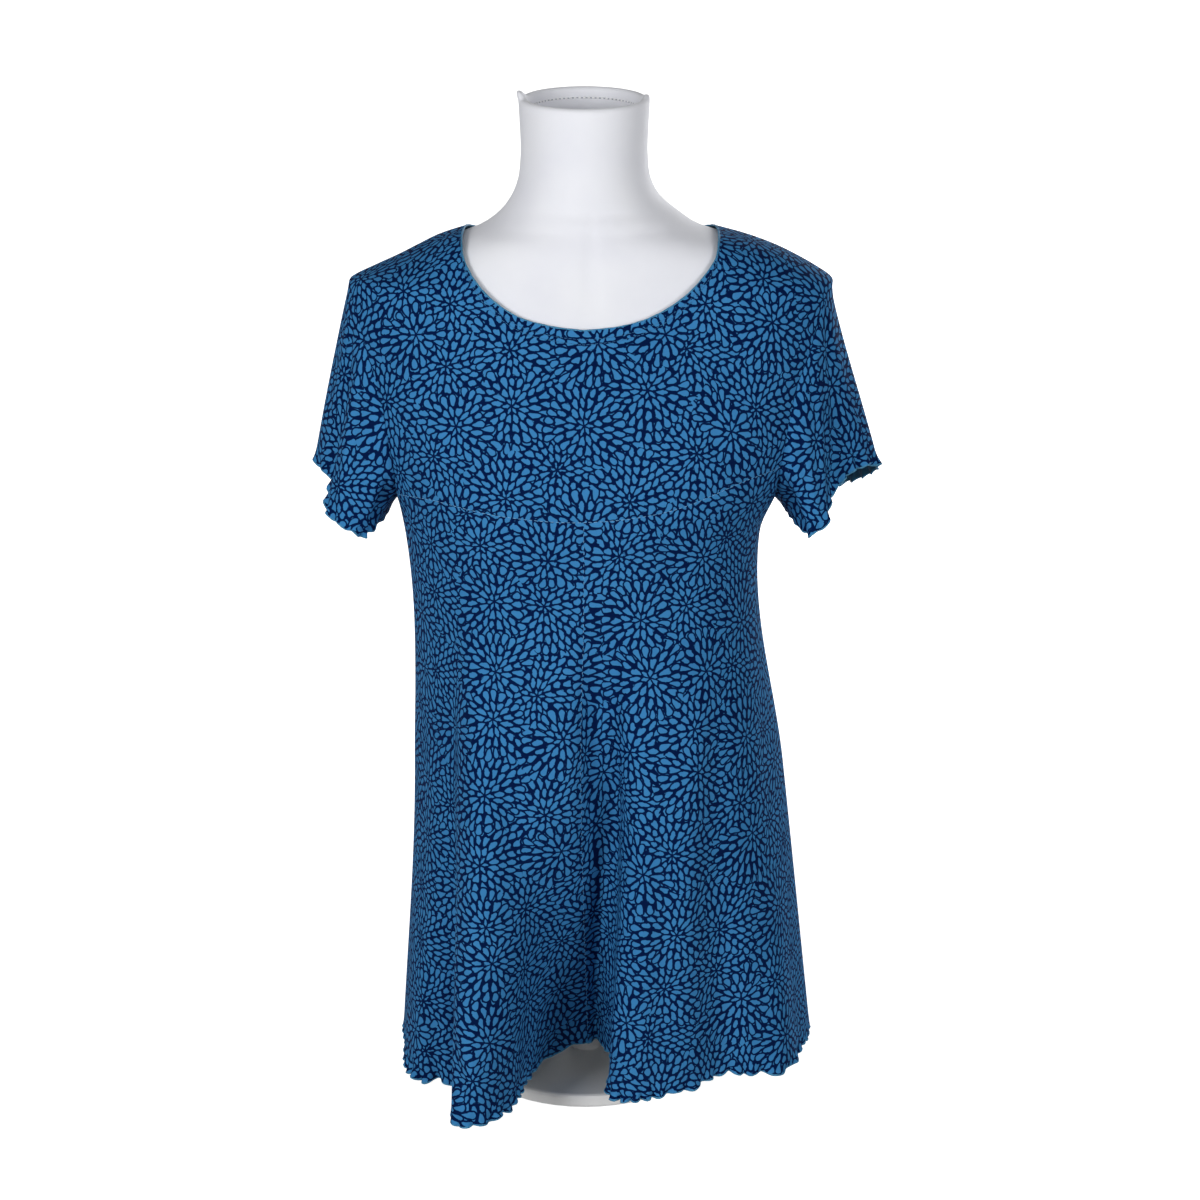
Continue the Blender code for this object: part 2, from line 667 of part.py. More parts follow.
def add_back(material):
    columns = spread(90, 270, HEM_COLUMN, hem_line)
    edges = [np.linspace(1, 0.5, BACK_ROWS)] * 2
    mirror = 180 - columns
    angle, height = upper_part(
        mirror[::-1], np.full(len(columns), UNDERARM), edges, back=True
    )
    angle, height = angle[:, ::-1], height[:, ::-1]
    lower = fall_levels()[1:, None] + 0 * columns
    angle = np.concatenate([angle, columns + 0 * lower])
    height = np.concatenate([height, lower])
    outward = shirt_facing(angle, height)
    outward[:BACK_ROWS, 0] = seam_facing(edges[0], 1)
    outward[:BACK_ROWS, -1] = seam_facing(edges[1], -1)
    places = trim_shoulders(shirt(angle, height), angle[0] - 180)
    edge_rows = lettuce(shirt, shirt_facing, columns, above_hem)
    panel("back_panel", places[:-1], outward[:-1], edge_rows, material, ("start", "end"))


def add_sleeve(side, material):
    """A sleeve, sewn all round the armhole and open at the cuff."""
    name = "sleeve_right" if side > 0 else "sleeve_left"
    around = front_columns(side)[1]
    below = np.sort(around[~np.isnan(around)])
    front = np.linspace(0, below[0], YOKE_ROWS)
    back = np.linspace(0.5, 1, BACK_ROWS)[1:]
    columns = np.concatenate([front, below[1:], back])

    def surface(around, along):
        return sleeve(around, along, side)

    def outward(around, along):
        return sleeve_facing(around, along, side)

    def cut_length(around):
        run = sleeve(around, np.linspace(0, 1, 15)[:, None], side)
        return np.linalg.norm(np.diff(run, axis=0), axis=-1).sum(axis=0)

    def above_cuff(around, distance):
        return 1 - distance / cut_length(around)

    reach = above_cuff(columns, WAVE_ROWS[0])
    rows = []
    for down in np.linspace(0, 1, SLEEVE_ROWS)[:-1] ** SLEEVE_DENSITY:
        along = down * reach
        if down == 0:
            normal = seam_facing(columns, side)
            place = surface(columns, along)
            place = set_back(place, surface(columns, along + ALONG_STEP), ring=True)
        else:
            normal, place = outward(columns, along), surface(columns, along)
        rows.append((place, normal, np.arange(len(columns))))
    rows += lettuce(surface, outward, columns, above_cuff)
    wall(name, rows, material, tube=True)


def add_form(material):
    """The limbless torso, closed below, with a hollow in the top of its neck."""
    turn = np.linspace(0, 360, FORM_COLUMNS, endpoint=False)
    rings = [section(FORM, turn, np.full_like(turn, z)) for z in FORM["height"]]
    rim = rings[0]
    centre = rim.mean(axis=0)
    inward = 1 - NECK_WALL / np.linalg.norm(rim - centre, axis=1, keepdims=True).mean()
    mouth = centre + (rim - centre) * inward
    round_off = np.array([0, 0, NECK_LIP])
    lip = centre + (rim - centre) * (1 + inward) / 2 + round_off
    floor = mouth - np.array([0, 0, NECK_HOLLOW])
    loft = [floor, mouth, lip] + rings
    points = np.concatenate(loft)
    faces = [tuple(range(FORM_COLUMNS))]
    last = len(points) - FORM_COLUMNS
    faces.append(tuple(range(last, last + FORM_COLUMNS)))
    for k in range(len(loft) - 1):
        for i in range(FORM_COLUMNS):
            j = (i + 1) % FORM_COLUMNS
            one, two = k * FORM_COLUMNS, (k + 1) * FORM_COLUMNS
            faces.append((one + i, one + j, two + j, two + i))
    return solid("dress_form", points, faces, material)


def add_disc(name, radius, low, high, back, bevel, material):
    """An upright round piece with a softened edge."""
    bpy.ops.mesh.primitive_cylinder_add(
        vertices=DISC_SIDES,
        radius=radius,
        depth=high - low,
        location=(0, back, (low + high) / 2),
    )
    piece = bpy.context.object
    piece.name = piece.data.name = name
    piece.data.materials.append(material)
    piece.data.shade_smooth()
    piece.data.set_sharp_from_angle(angle=math.radians(40))
    edge = piece.modifiers.new("soft edge", "BEVEL")
    edge.width, edge.segments, edge.limit_method = bevel, 2, "ANGLE"
    for collection in list(piece.users_collection):
        collection.objects.unlink(piece)
    SHIRT_ON_FORM.objects.link(piece)


def finish(name, colour, roughness, metallic=0.0):
    material = bpy.data.materials.new(name)
    material.use_nodes = True
    shader = material.node_tree.nodes["Principled BSDF"]
    shader.inputs["Base Color"].default_value = (*colour, 1)
    shader.inputs["Roughness"].default_value = roughness
    shader.inputs["Metallic"].default_value = metallic
    material.diffuse_color = (*colour, 1)
    return material


for left_over in list(bpy.data.objects):
    bpy.data.objects.remove(left_over)
SHIRT_ON_FORM = bpy.data.collections.new("t_shirt_on_dress_form")
bpy.context.scene.collection.children.link(SHIRT_ON_FORM)

jersey = finish("blue jersey", (0.022, 0.110, 0.260), 0.85)
cover = finish("white form cover", (0.80, 0.81, 0.83), 0.80)
enamel = finish("white enamel", (0.82, 0.82, 0.82), 0.40)

add_yoke(jersey)
add_back(jersey)
for side in (-1, 1):
    add_front(side, jersey)
    add_sleeve(side, jersey)
add_form(cover)
add_disc("stand_base", BASE_RADIUS, 0, BASE_HEIGHT, BASE_BACK, BASE_EDGE, enamel)
add_disc(
    "stand_pole", POLE_RADIUS, BASE_HEIGHT + POLE_GAP, FORM_BOTTOM - POLE_GAP,
    POLE_BACK, POLE_EDGE, enamel,
)
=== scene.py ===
import math

import bmesh
import bpy
import numpy as np
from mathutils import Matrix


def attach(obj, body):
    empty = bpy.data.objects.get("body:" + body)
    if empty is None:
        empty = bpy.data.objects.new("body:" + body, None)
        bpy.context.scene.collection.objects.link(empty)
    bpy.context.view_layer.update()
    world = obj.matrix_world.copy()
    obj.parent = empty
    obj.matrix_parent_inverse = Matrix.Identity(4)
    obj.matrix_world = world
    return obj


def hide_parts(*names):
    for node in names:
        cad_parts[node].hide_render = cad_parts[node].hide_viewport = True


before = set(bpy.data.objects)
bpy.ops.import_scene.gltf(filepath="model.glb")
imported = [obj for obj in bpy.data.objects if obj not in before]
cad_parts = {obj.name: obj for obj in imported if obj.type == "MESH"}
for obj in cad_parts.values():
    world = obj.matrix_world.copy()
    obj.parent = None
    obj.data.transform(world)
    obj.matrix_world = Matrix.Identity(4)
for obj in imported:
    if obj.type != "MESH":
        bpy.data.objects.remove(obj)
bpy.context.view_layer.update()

# The studio. A pale floor sweeps up into a backdrop and glows a little, so that it stays
# white without lighting the cloth. Two large soft lights stand in front to both sides, a
# weaker one in the middle and one behind, and dim white air fills in the rest.
AIM = (0.0128, 0.0, 0.442)
DISTANCE = 2.1
PITCH = math.radians(14.5)
LENS = 74.12
SWEEP = {"width": 9.0, "front": 4.0, "back": 1.6, "bend": 1.2, "top": 4.0}
SWEEP_GREY = 0.9
SWEEP_GLOW = 0.8
AIR_GLOW = 0.16


def put(name, data):
    """A new object in the scene around a mesh, a lamp or a camera."""
    made = bpy.data.objects.new(name, data)
    bpy.context.scene.collection.objects.link(made)
    return made


def smooth_mesh(name, points, faces, materials):
    """A mesh through an array of points, shaded smooth, with its materials."""
    mesh = bpy.data.meshes.new(name)
    mesh.from_pydata(points.reshape(-1, 3).tolist(), [], faces)
    mesh.shade_smooth()
    for material in materials:
        mesh.materials.append(material)
    return mesh


def studio_sweep(width, front, back, bend, top):
    """A floor that turns up into a wall: a straight run, a quarter circle and a rise,
    carried across the width. The points and the faces."""
    turn = np.linspace(0, math.pi / 2, 25)
    y = np.concatenate([[-front], back + bend * np.sin(turn), [back + bend]])
    z = np.concatenate([[0], bend * (1 - np.cos(turn)), [top]])
    side = np.array([-width / 2, width / 2])
    points = np.stack(np.broadcast_arrays(side[None, :], y[:, None], z[:, None]), axis=-1)
    rows = np.arange(len(y) - 1)[:, None] * 2
    return points, (rows + np.array([0, 1, 3, 2])).tolist()


paper = bpy.data.materials.new("studio_paper")
paper.use_nodes = True
paper_shader = paper.node_tree.nodes["Principled BSDF"].inputs
paper_shader["Base Color"].default_value = (SWEEP_GREY, SWEEP_GREY, SWEEP_GREY, 1)
paper_shader["Roughness"].default_value = 0.9
paper_shader["Emission Color"].default_value = (1, 1, 1, 1)
paper_shader["Emission Strength"].default_value = SWEEP_GLOW
floor = put("studio_floor", smooth_mesh("studio_floor", *studio_sweep(**SWEEP), [paper]))
floor.visible_diffuse = False

air = bpy.data.worlds.new("studio_air")
air.use_nodes = True
sky = air.node_tree.nodes["Background"].inputs["Strength"]
air.node_tree.nodes["Background"].inputs["Color"].default_value = (1, 1, 1, 1)
seen = air.node_tree.nodes.new("ShaderNodeMapRange")
seen.inputs["To Min"].default_value = AIR_GLOW
rays = air.node_tree.nodes.new("ShaderNodeLightPath")
air.node_tree.links.new(rays.outputs["Is Camera Ray"], seen.inputs["Value"])
air.node_tree.links.new(seen.outputs["Result"], sky)
bpy.context.scene.world = air
bpy.context.scene.view_settings.view_transform = "Standard"


def soft_light(name, power, size, place, aim):
    """A square soft light at a place, turned to aim at a point."""
    lamp = bpy.data.lights.new(name, "AREA")
    lamp.energy, lamp.size = power, size
    light = put(name, lamp)
    light.location = place
    way = np.subtract(aim, place)
    pitch = math.atan2(math.hypot(way[0], way[1]), -way[2])
    light.rotation_euler = (pitch, 0, math.atan2(way[1], way[0]) - math.pi / 2)
    light.visible_camera = False


soft_light("left_front_light", 35, 0.9, (-1.6, -2.0, 0.95), (0, 0, 0.50))
soft_light("right_front_light", 22, 0.9, (1.6, -2.0, 0.95), (0, 0, 0.50))
soft_light("middle_light", 8.5, 0.9, (0.1, -2.6, 1.35), (0, 0, 0.55))
soft_light("back_light", 46, 1.0, (1.3, 2.4, 1.2), (0, 0.2, 0.45))

lens = bpy.data.cameras.new("camera")
lens.lens = LENS
camera = put("camera", lens)
camera.location = (
    AIM[0],
    AIM[1] - DISTANCE * math.cos(PITCH),
    AIM[2] + DISTANCE * math.sin(PITCH),
)
camera.rotation_euler = (math.pi / 2 - PITCH, 0, 0)
bpy.context.scene.camera = camera


# The stand: a flat steel base and a pole, both baked with white enamel. They are turned
# parts and stay as the frame has them. The enamel is slightly uneven, as sprayed paint is.
class Wire:
    """A socket that takes part in arithmetic: each operator adds its Math node."""

    def __init__(self, tree, socket):
        self.tree, self.socket = tree, socket

    def node(self, kind, settings, inputs, output=0):
        """A new node of a kind. Its settings are set first, then its inputs by name or
        by number are given values or links. Returns one of its outputs."""
        made = self.tree.nodes.new(kind)
        for name, value in settings.items():
            setattr(made, name, value)
        for name, value in inputs.items():
            if isinstance(value, Wire):
                self.tree.links.new(value.socket, made.inputs[name])
            else:
                made.inputs[name].default_value = value
        return Wire(self.tree, made.outputs[output])

    def twin(self, output):
        """Another output of the same node."""
        return Wire(self.tree, self.socket.node.outputs[output])

    def math(self, operation, *others):
        inputs = dict(enumerate((self,) + others))
        return self.node("ShaderNodeMath", {"operation": operation}, inputs)

    def __add__(self, other):
        return self.math("ADD", other)

    def __mul__(self, other):
        return self.math("MULTIPLY", other)

    def __sub__(self, other):
        return self.math("SUBTRACT", other)

    def __truediv__(self, other):
        return self.math("DIVIDE", other)

    def __rsub__(self, other):
        return self * -1 + other

    def ramp(self, low, high):
        """0 up to low, 1 from high, and a straight slope between."""
        inputs = {"Value": self, "From Min": low, "From Max": high}
        return self.node("ShaderNodeMapRange", {"clamp": True}, inputs)

    def between(self, low, high):
        """A colour from low, where this is 0, to high, where it is 1."""
        settings = {"data_type": "RGBA"}
        inputs = {0: self, 6: low, 7: high}
        return self.node("ShaderNodeMix", settings, inputs, 2)


def finish(name, constants):
    """A new material and its shader, with the constants set on the shader's own sockets,
    and a wire to start from: the object's own coordinates."""
    material = bpy.data.materials.new(name)
    material.use_nodes = True
    tree = material.node_tree
    shader = tree.nodes["Principled BSDF"]
    for socket, value in constants.items():
        shader.inputs[socket].default_value = value
    start = Wire(tree, shader.outputs[0])
    place = start.node("ShaderNodeTexCoord", {}, {}, "Object")
    return material, shader, place


def feed(shader, **wires):
    """Links wires to the shader's sockets. An underscore stands for a space."""
    for name, wire in wires.items():
        wire.tree.links.new(wire.socket, shader.inputs[name.replace("_", " ")])


def noise(place, scale, detail=2.0, output=0):
    inputs = {"Vector": place, "Scale": scale, "Detail": detail}
    return place.node("ShaderNodeTexNoise", {}, inputs, output)


def bump(height, depth, strength=1.0):
    """A surface that rises by depth where the height is 1."""
    inputs = {"Height": height, "Distance": depth, "Strength": strength}
    return height.node("ShaderNodeBump", {}, inputs)


enamel, gloss, place = finish("baked_enamel", {"Roughness": 0.35, "Coat Weight": 0.2})
feed(
    gloss,
    Base_Color=noise(place, 30).between((0.80, 0.80, 0.80, 1), (0.86, 0.86, 0.86, 1)),
    Roughness=noise(place, 120) * 0.12 + 0.32,
    Normal=bump(noise(place, 700, 3.0), 0.00004),
)
for node in ("stand_base", "stand_pole"):
    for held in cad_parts[node].material_slots:
        held.material = enamel

# The dress form: a moulded limbless torso in a tight white stretch cover, open at the
# top of its neck. The cover is turned over the neck's rim and stitched inside, and the
# ends of its side seams stand up as small folded corners.
FORM_WALL = 0.008
FORM_HOLLOW = 0.060
FORM_STEP = 0.004
FORM_COLUMNS = 176
COVER_WEAVE = 0.0007
WELD_DISTANCE = 0.00002
UPWARD = np.array([0.0, 0.0, 1.0])


def table(columns, *rows):
    """A short table as one array for each named column."""
    return dict(zip(columns.split(), np.array(rows, float).T))


FORM = table(
    "height left right front back side square slope",
    (0.8575, 0.0525, 0.0525, 0.0575, 0.0500, -0.0035, 0.00, 0.13),
    (0.8380, 0.0515, 0.0515, 0.0570, 0.0500, -0.0030, 0.00, 0.13),
    (0.8150, 0.0512, 0.0512, 0.0565, 0.0510, -0.0020, 0.00, 0.13),
    (0.7950, 0.0540, 0.0545, 0.0570, 0.0560, 0.0000, 0.00, 0.13),
    (0.7800, 0.0610, 0.0640, 0.0590, 0.0640, 0.0050, 0.00, 0.11),
    (0.7680, 0.0710, 0.0790, 0.0615, 0.0720, 0.0090, 0.00, 0.06),
    (0.7570, 0.0880, 0.0975, 0.0635, 0.0765, 0.0120, 0.00, 0.02),
    (0.7500, 0.1070, 0.1210, 0.0660, 0.0785, 0.0120, 0.02, 0.00),
    (0.7420, 0.1250, 0.1450, 0.0695, 0.0815, 0.0120, 0.03, 0.00),
    (0.7330, 0.1430, 0.1640, 0.0725, 0.0835, 0.0110, 0.04, 0.00),
    (0.7240, 0.1610, 0.1780, 0.0755, 0.0855, 0.0110, 0.05, 0.00),
    (0.7140, 0.1790, 0.1910, 0.0795, 0.0875, 0.0100, 0.05, 0.00),
    (0.7000, 0.1850, 0.1950, 0.0855, 0.0905, 0.0090, 0.05, 0.00),
    (0.6700, 0.1820, 0.1900, 0.0985, 0.0925, 0.0060, 0.05, 0.00),
    (0.6400, 0.1740, 0.1800, 0.1105, 0.0930, 0.0040, 0.05, 0.00),
    (0.5900, 0.1580, 0.1620, 0.1265, 0.0905, 0.0000, 0.05, 0.00),
    (0.5500, 0.1450, 0.1480, 0.1310, 0.0870, -0.0020, 0.06, 0.00),
    (0.5150, 0.1390, 0.1390, 0.1245, 0.0790, -0.0020, 0.06, 0.00),
    (0.4700, 0.1260, 0.1260, 0.1060, 0.0660, 0.0000, 0.05, 0.00),
    (0.4200, 0.1190, 0.1200, 0.0920, 0.0620, 0.0000, 0.05, 0.00),
    (0.3700, 0.1240, 0.1270, 0.0900, 0.0700, 0.0000, 0.05, 0.00),
    (0.3200, 0.1320, 0.1400, 0.0930, 0.0800, 0.0000, 0.05, 0.00),
    (0.2800, 0.1330, 0.1450, 0.0900, 0.0850, 0.0000, 0.05, 0.00),
    (0.2680, 0.1300, 0.1420, 0.0870, 0.0820, 0.0000, 0.05, 0.00),
    (0.2620, 0.1220, 0.1340, 0.0800, 0.0750, 0.0000, 0.05, 0.00),
)


def curve(knots, values, at, turn=None):
    """A smooth curve through values at knots, from cubic pieces that share three-point
    slopes. With turn it closes on itself after that much of the knots' unit."""
    knots = np.asarray(knots, float)
    values = np.asarray(values, float)
    if values.ndim == 1:
        return curve(knots, values[:, None], at, turn)[..., 0]
    at = np.asarray(at, float)
    if turn:
        ring = len(knots)
        if math.isclose(knots[-1] - knots[0], turn):
            ring -= 1
        keep = np.arange(-2, ring + 2)
        knots = knots[keep % ring] + turn * (keep // ring)
        values = values[keep % ring]
        at = knots[2] + np.mod(at - knots[2], turn)
    if knots[0] > knots[-1]:
        knots, values = knots[::-1], values[::-1]
    step = np.diff(knots)[:, None]
    chord = np.diff(values, axis=0) / step
    slope = np.empty_like(values)
    slope[0], slope[-1] = chord[0], chord[-1]
    slope[1:-1] = (chord[:-1] * step[1:] + chord[1:] * step[:-1]) / (step[1:] + step[:-1])
    flat = np.clip(at, knots[0], knots[-1])
    k = np.clip(np.searchsorted(knots, flat, side="right") - 1, 0, len(knots) - 2)
    width = (knots[k + 1] - knots[k])[..., None]
    u = (flat - knots[k])[..., None] / width
    return hermite(values[k], slope[k] * width, values[k + 1], slope[k + 1] * width, u)


def hermite(start, leave, end, arrive, u):
    """The cubic from start to end that sets off along leave and arrives along arrive."""
    bend = 3 * (end - start) - 2 * leave - arrive
    twist = leave + arrive - 2 * (end - start)
    return start + u * (leave + u * (bend + u * twist))


def section(rings, angle, height):
    """A point of the horizontal section at a height, seen from the centre in a direction:
    an ellipse with its own half width to each side and its own depth to the front and
    to the back, filled out by square."""
    names = [name for name in rings if name != "height"]
    columns = np.stack([rings[name] for name in names], axis=1)
    ring = dict(zip(names, np.moveaxis(curve(rings["height"], columns, height), -1, 0)))
    sine, cosine = np.sin(np.radians(angle)), np.cos(np.radians(angle))
    width = np.where(sine < 0, ring["left"], ring["right"])
    depth = np.where(cosine > 0, ring["front"] + ring["side"], ring["back"] - ring["side"])
    x = width * sine
    y = ring["side"] - depth * cosine * (1 + ring["square"] * sine**2)
    z = height + ring.get("slope", 0) * (y - ring["side"])
    return np.stack(np.broadcast_arrays(x, y, z), axis=-1)


def hill(distance, reach):
    """A smooth bell, 1 at no distance and fading within a few reaches."""
    return np.exp(-((np.asarray(distance) / reach) ** 2))


def unit(vectors):
    """The same directions, each one long."""
    return vectors / np.linalg.norm(vectors, axis=-1, keepdims=True)


def travel(path):
    """How far along a path each of its points is."""
    steps = np.linalg.norm(np.diff(path, axis=0), axis=1)
    return np.concatenate([[0], np.cumsum(steps)])


def quads(index, ring=False):
    """The corners of each cell of a grid of point numbers, in its last two axes. As a
    ring its last column meets its first."""
    if ring:
        index = np.concatenate([index, index[..., :1]], axis=-1)
    high, low = index[..., :-1, :], index[..., 1:, :]
    cells = np.stack([high[..., :-1], low[..., :-1], low[..., 1:], high[..., 1:]], axis=-1)
    return cells.reshape(-1, 4)


def faces_out(mesh, weld=None):
    """Turns the faces of closed shapes outwards, after joining points within weld."""
    shape = bmesh.new()
    shape.from_mesh(mesh)
    if weld:
        bmesh.ops.remove_doubles(shape, verts=shape.verts, dist=weld)
    bmesh.ops.recalc_face_normals(shape, faces=shape.faces)
    shape.to_mesh(mesh)
    shape.free()


GROOVES = table(
    "depth at_z tall at_x wide",
    (0.0018, 0.772, 0.0045, 0.012, 0.045),
    (0.0022, 0.725, 0.035, 0.0057, 0.0050),
)
NECK_START = 0.78
SIDE_SEAM_RISE = 0.0005
CORNER_WIDTH = 0.008
CORNER_OUT, CORNER_UP = 0.0024, 0.0034
CORNER_LEFT, CORNER_RIGHT = 1.5, 0.6
RIM_THREAD_RISE = 0.0003


def form_surface():
    """Rings up the outside of the torso and neck, over the rim, down the hollow and in
    to its middle, with the base closed in the same way, and the ring inside the rim.
    Grooves are bells in x and z. The corners are bells at both sides of the rim."""
    turn = np.linspace(0, 360, FORM_COLUMNS, endpoint=False)
    low, high = FORM["height"].min(), FORM["height"].max()
    heights = np.linspace(low, high, round((high - low) / FORM_STEP))
    outside = section(FORM, turn[None, :], heights[:, None])
    x, z = outside[..., 0], outside[..., 2]
    in_front = np.where(np.cos(np.radians(turn)) > 0, 1, 0)
    for depth, at_z, tall, at_x, wide in zip(*GROOVES.values()):
        outside[..., 1] += depth * hill(z - at_z, tall) * hill(x - at_x, wide) * in_front
    aside = np.abs(np.sin(np.radians(turn))) - 1
    on_neck = np.clip((z - NECK_START) / 0.02, 0, 1)
    outside[..., 0] += SIDE_SEAM_RISE * np.sign(x) * hill(aside * 3, 0.02) * on_neck
    rim = outside[-1]
    out = unit(rim - rim.mean(axis=0))
    bead = np.linspace(0, np.pi, 13)[1:, None, None]
    half = FORM_WALL / 2
    rolled = rim - out * half * (1 - np.cos(bead)) + UPWARD * half * np.sin(bead)
    pinch = hill(np.sin(bead) - 1, 0.5)
    size = np.where(out[:, :1] > 0, CORNER_RIGHT, CORNER_LEFT)
    corner = hill(aside, CORNER_WIDTH)[:, None] * size
    rolled = rolled + corner * pinch * (out * CORNER_OUT + UPWARD * CORNER_UP)
    sink = np.linspace(0, 1, 14)[1:, None, None]
    wall = rolled[-1] - UPWARD * FORM_HOLLOW * sink
    share = np.linspace(1, 0, 8)[1:, None, None]
    deep = wall[-1].mean(axis=0)
    bottom = deep + (wall[-1] - deep) * share
    foot = outside[0].mean(axis=0)
    under = foot + (outside[0] - foot) * share[::-1]
    return np.concatenate([under, outside, rolled, wall, bottom]), wall[0]


cover_cloth, cover_shader, place = finish(
    "stretch_cover", {"Roughness": 0.8, "Sheen Weight": 0.15, "Specular IOR Level": 0.3}
)
split = place.node("ShaderNodeSeparateXYZ", {}, {0: place})
threads = (split * (1 / COVER_WEAVE)).math("PINGPONG", 0.5)
rows_of = (split.twin(2) * (1 / COVER_WEAVE)).math("PINGPONG", 0.5)
cloudy = noise(place, 18, 4.0)
feed(
    cover_shader,
    Base_Color=cloudy.ramp(0.3, 0.7).between((0.86, 0.87, 0.93, 1), (0.91, 0.92, 0.965, 1)),
    Normal=bump(threads * rows_of * 4 + noise(place, 900) * 0.6, 0.00008),
)
form_points, inside_rim = form_surface()
form_faces = quads(np.arange(form_points[..., 0].size).reshape(-1, FORM_COLUMNS), ring=True)
form = put("form_cover", smooth_mesh("form_cover", form_points, form_faces.tolist(),
                                     [cover_cloth]))
faces_out(form.data, WELD_DISTANCE)
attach(form, "root")
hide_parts("dress_form")


def stitches(name, path, outward, length, pitch, radius, material):
    """A row of thread stitches along a path, each a small six-sided spindle that is
    flattened against the cloth: rings of one radius profile about its own axis."""
    place = travel(path)
    centre = np.arange(pitch / 2, place[-1], pitch)
    at, up, ahead = (
        np.stack([np.interp(where, place, axis) for axis in lane.T], axis=1)
        for where, lane in ((centre, path), (centre, outward), (centre + pitch / 4, path))
    )
    run = unit(ahead - at)
    up = unit(up - (up * run).sum(axis=1, keepdims=True) * run)
    aside = np.cross(run, up)
    station = np.array([-0.5, -0.38, 0, 0.38, 0.5])[None, :, None, None] * length
    girth = np.array([0.3, 0.85, 1, 0.85, 0.3])[None, :, None, None] * radius
    turn = np.linspace(0, 2 * np.pi, 6, endpoint=False)[None, None, :, None]
    points = at[:, None, None] + run[:, None, None] * station
    points = points + girth * (
        np.cos(turn) * aside[:, None, None] + 0.7 * np.sin(turn) * up[:, None, None]
    )
    index = np.arange(points[..., 0].size).reshape(points.shape[:3])
    faces = quads(index, ring=True).tolist()
    faces += index[:, 0, ::-1].tolist() + index[:, -1].tolist()
    row = put(name, smooth_mesh(name, points, faces, [material]))
    faces_out(row.data)
    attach(row, "root")
    return row


def thread(name, dark, pale):
    """Sewing thread: twisted fibres, paler and darker along the strand."""
    spun, shader, place = finish(name, {"Roughness": 0.7, "Specular IOR Level": 0.3})
    twist = noise(place, 900, 2.0)
    feed(shader, Base_Color=twist.ramp(0.35, 0.65).between(dark, pale),
         Normal=bump(twist, 0.00006))
    return spun


white_thread = thread("white_thread", (0.92, 0.93, 0.96, 1), (0.97, 0.97, 0.98, 1))
back_half = slice(FORM_COLUMNS * 28 // 100, FORM_COLUMNS * 72 // 100)
towards = unit(inside_rim.mean(axis=0) - inside_rim)[back_half]
rim_path = inside_rim[back_half] + towards * RIM_THREAD_RISE
# The grey row of thread under the white stitches is painted shade: it darkens the hollow's
# wall around the stitches, where that wall lies in shade.
painted_shade_thread = thread("painted_shade_thread", (0.42, 0.44, 0.50, 1), (0.52, 0.54, 0.60, 1))
rim_painted_shade = stitches("form_rim_painted_shade", rim_path, towards, length=0.0042, pitch=0.0038,
                    radius=0.0006, material=painted_shade_thread)
rim_row = stitches("form_rim_stitches", rim_path, towards, length=0.0026, pitch=0.0038,
                   radius=0.0009, material=white_thread)

# The body of the shirt: jersey with a print of small petals in round bursts, cut as a
# front yoke, two lower front panels that meet at a centre seam, and one back panel. It
# hangs from the shoulders and falls free below the bust in deep folds.
#
# Angles are degrees from the front, positive to the right. Lengths are metres, but
# millimetres in NECKLINE, FALL, CREASES and the tables of the sleeves, in the print, and
# for the waves, lifts and pulls of the cloth. A place around an armhole runs from 0 at
# the shoulder by the front to 0.5 below the arm, and by the back to 1.
CLOTH = 0.0012
SHOULDER_TIP = 0.7155
NECK_POINT = 0.7563
UNDERARM = 0.535
FREE_FALL = 0.500
MID_FALL = 0.300
HEM = 0.030
NECK_SHARE = 0.66
CUT_ROWS, CUT_COLUMNS = 24, 40
RIDGE_DENSITY = 1.5
SHOULDER_DENSITY = 1.4
MILLIMETRE = 0.001
RUFFLE_DEPTH = 0.007
RUFFLE_WAVE = 16.0
RUFFLE_HEIGHT = 2.4
HEM_LIFT = 1.1
HEM_SEED = 1.3
YOKE_PULL = 0.7
SEAM_PULL = 0.6
RUFFLE_ROWS = 13
HEM_STEP = 0.0016

SHIRT = table(
    "height left right front back side square",
    (0.762, 0.078, 0.088, 0.066, 0.078, 0.012, 0.00),
    (0.757, 0.096, 0.106, 0.068, 0.080, 0.012, 0.00),
    (0.750, 0.119, 0.133, 0.070, 0.082, 0.012, 0.02),
    (0.742, 0.136, 0.156, 0.073, 0.085, 0.012, 0.03),
    (0.733, 0.154, 0.175, 0.076, 0.087, 0.011, 0.04),
    (0.724, 0.174, 0.191, 0.079, 0.089, 0.011, 0.05),
    (0.7155, 0.1915, 0.2033, 0.083, 0.091, 0.010, 0.06),
    (0.705, 0.1965, 0.2060, 0.087, 0.093, 0.009, 0.07),
    (0.690, 0.1980, 0.2065, 0.093, 0.095, 0.008, 0.08),
    (0.665, 0.1965, 0.2040, 0.104, 0.0965, 0.006, 0.10),
    (0.640, 0.1925, 0.1985, 0.115, 0.097, 0.004, 0.12),
    (0.590, 0.1800, 0.1850, 0.131, 0.095, 0.000, 0.15),
    (0.555, 0.1650, 0.1690, 0.136, 0.092, -0.002, 0.16),
    (0.535, 0.1560, 0.1580, 0.136, 0.091, -0.003, 0.16),
    (0.515, 0.1515, 0.1485, 0.1345, 0.090, -0.004, 0.16),
    (0.480, 0.1465, 0.1450, 0.1310, 0.089, -0.006, 0.15),
)
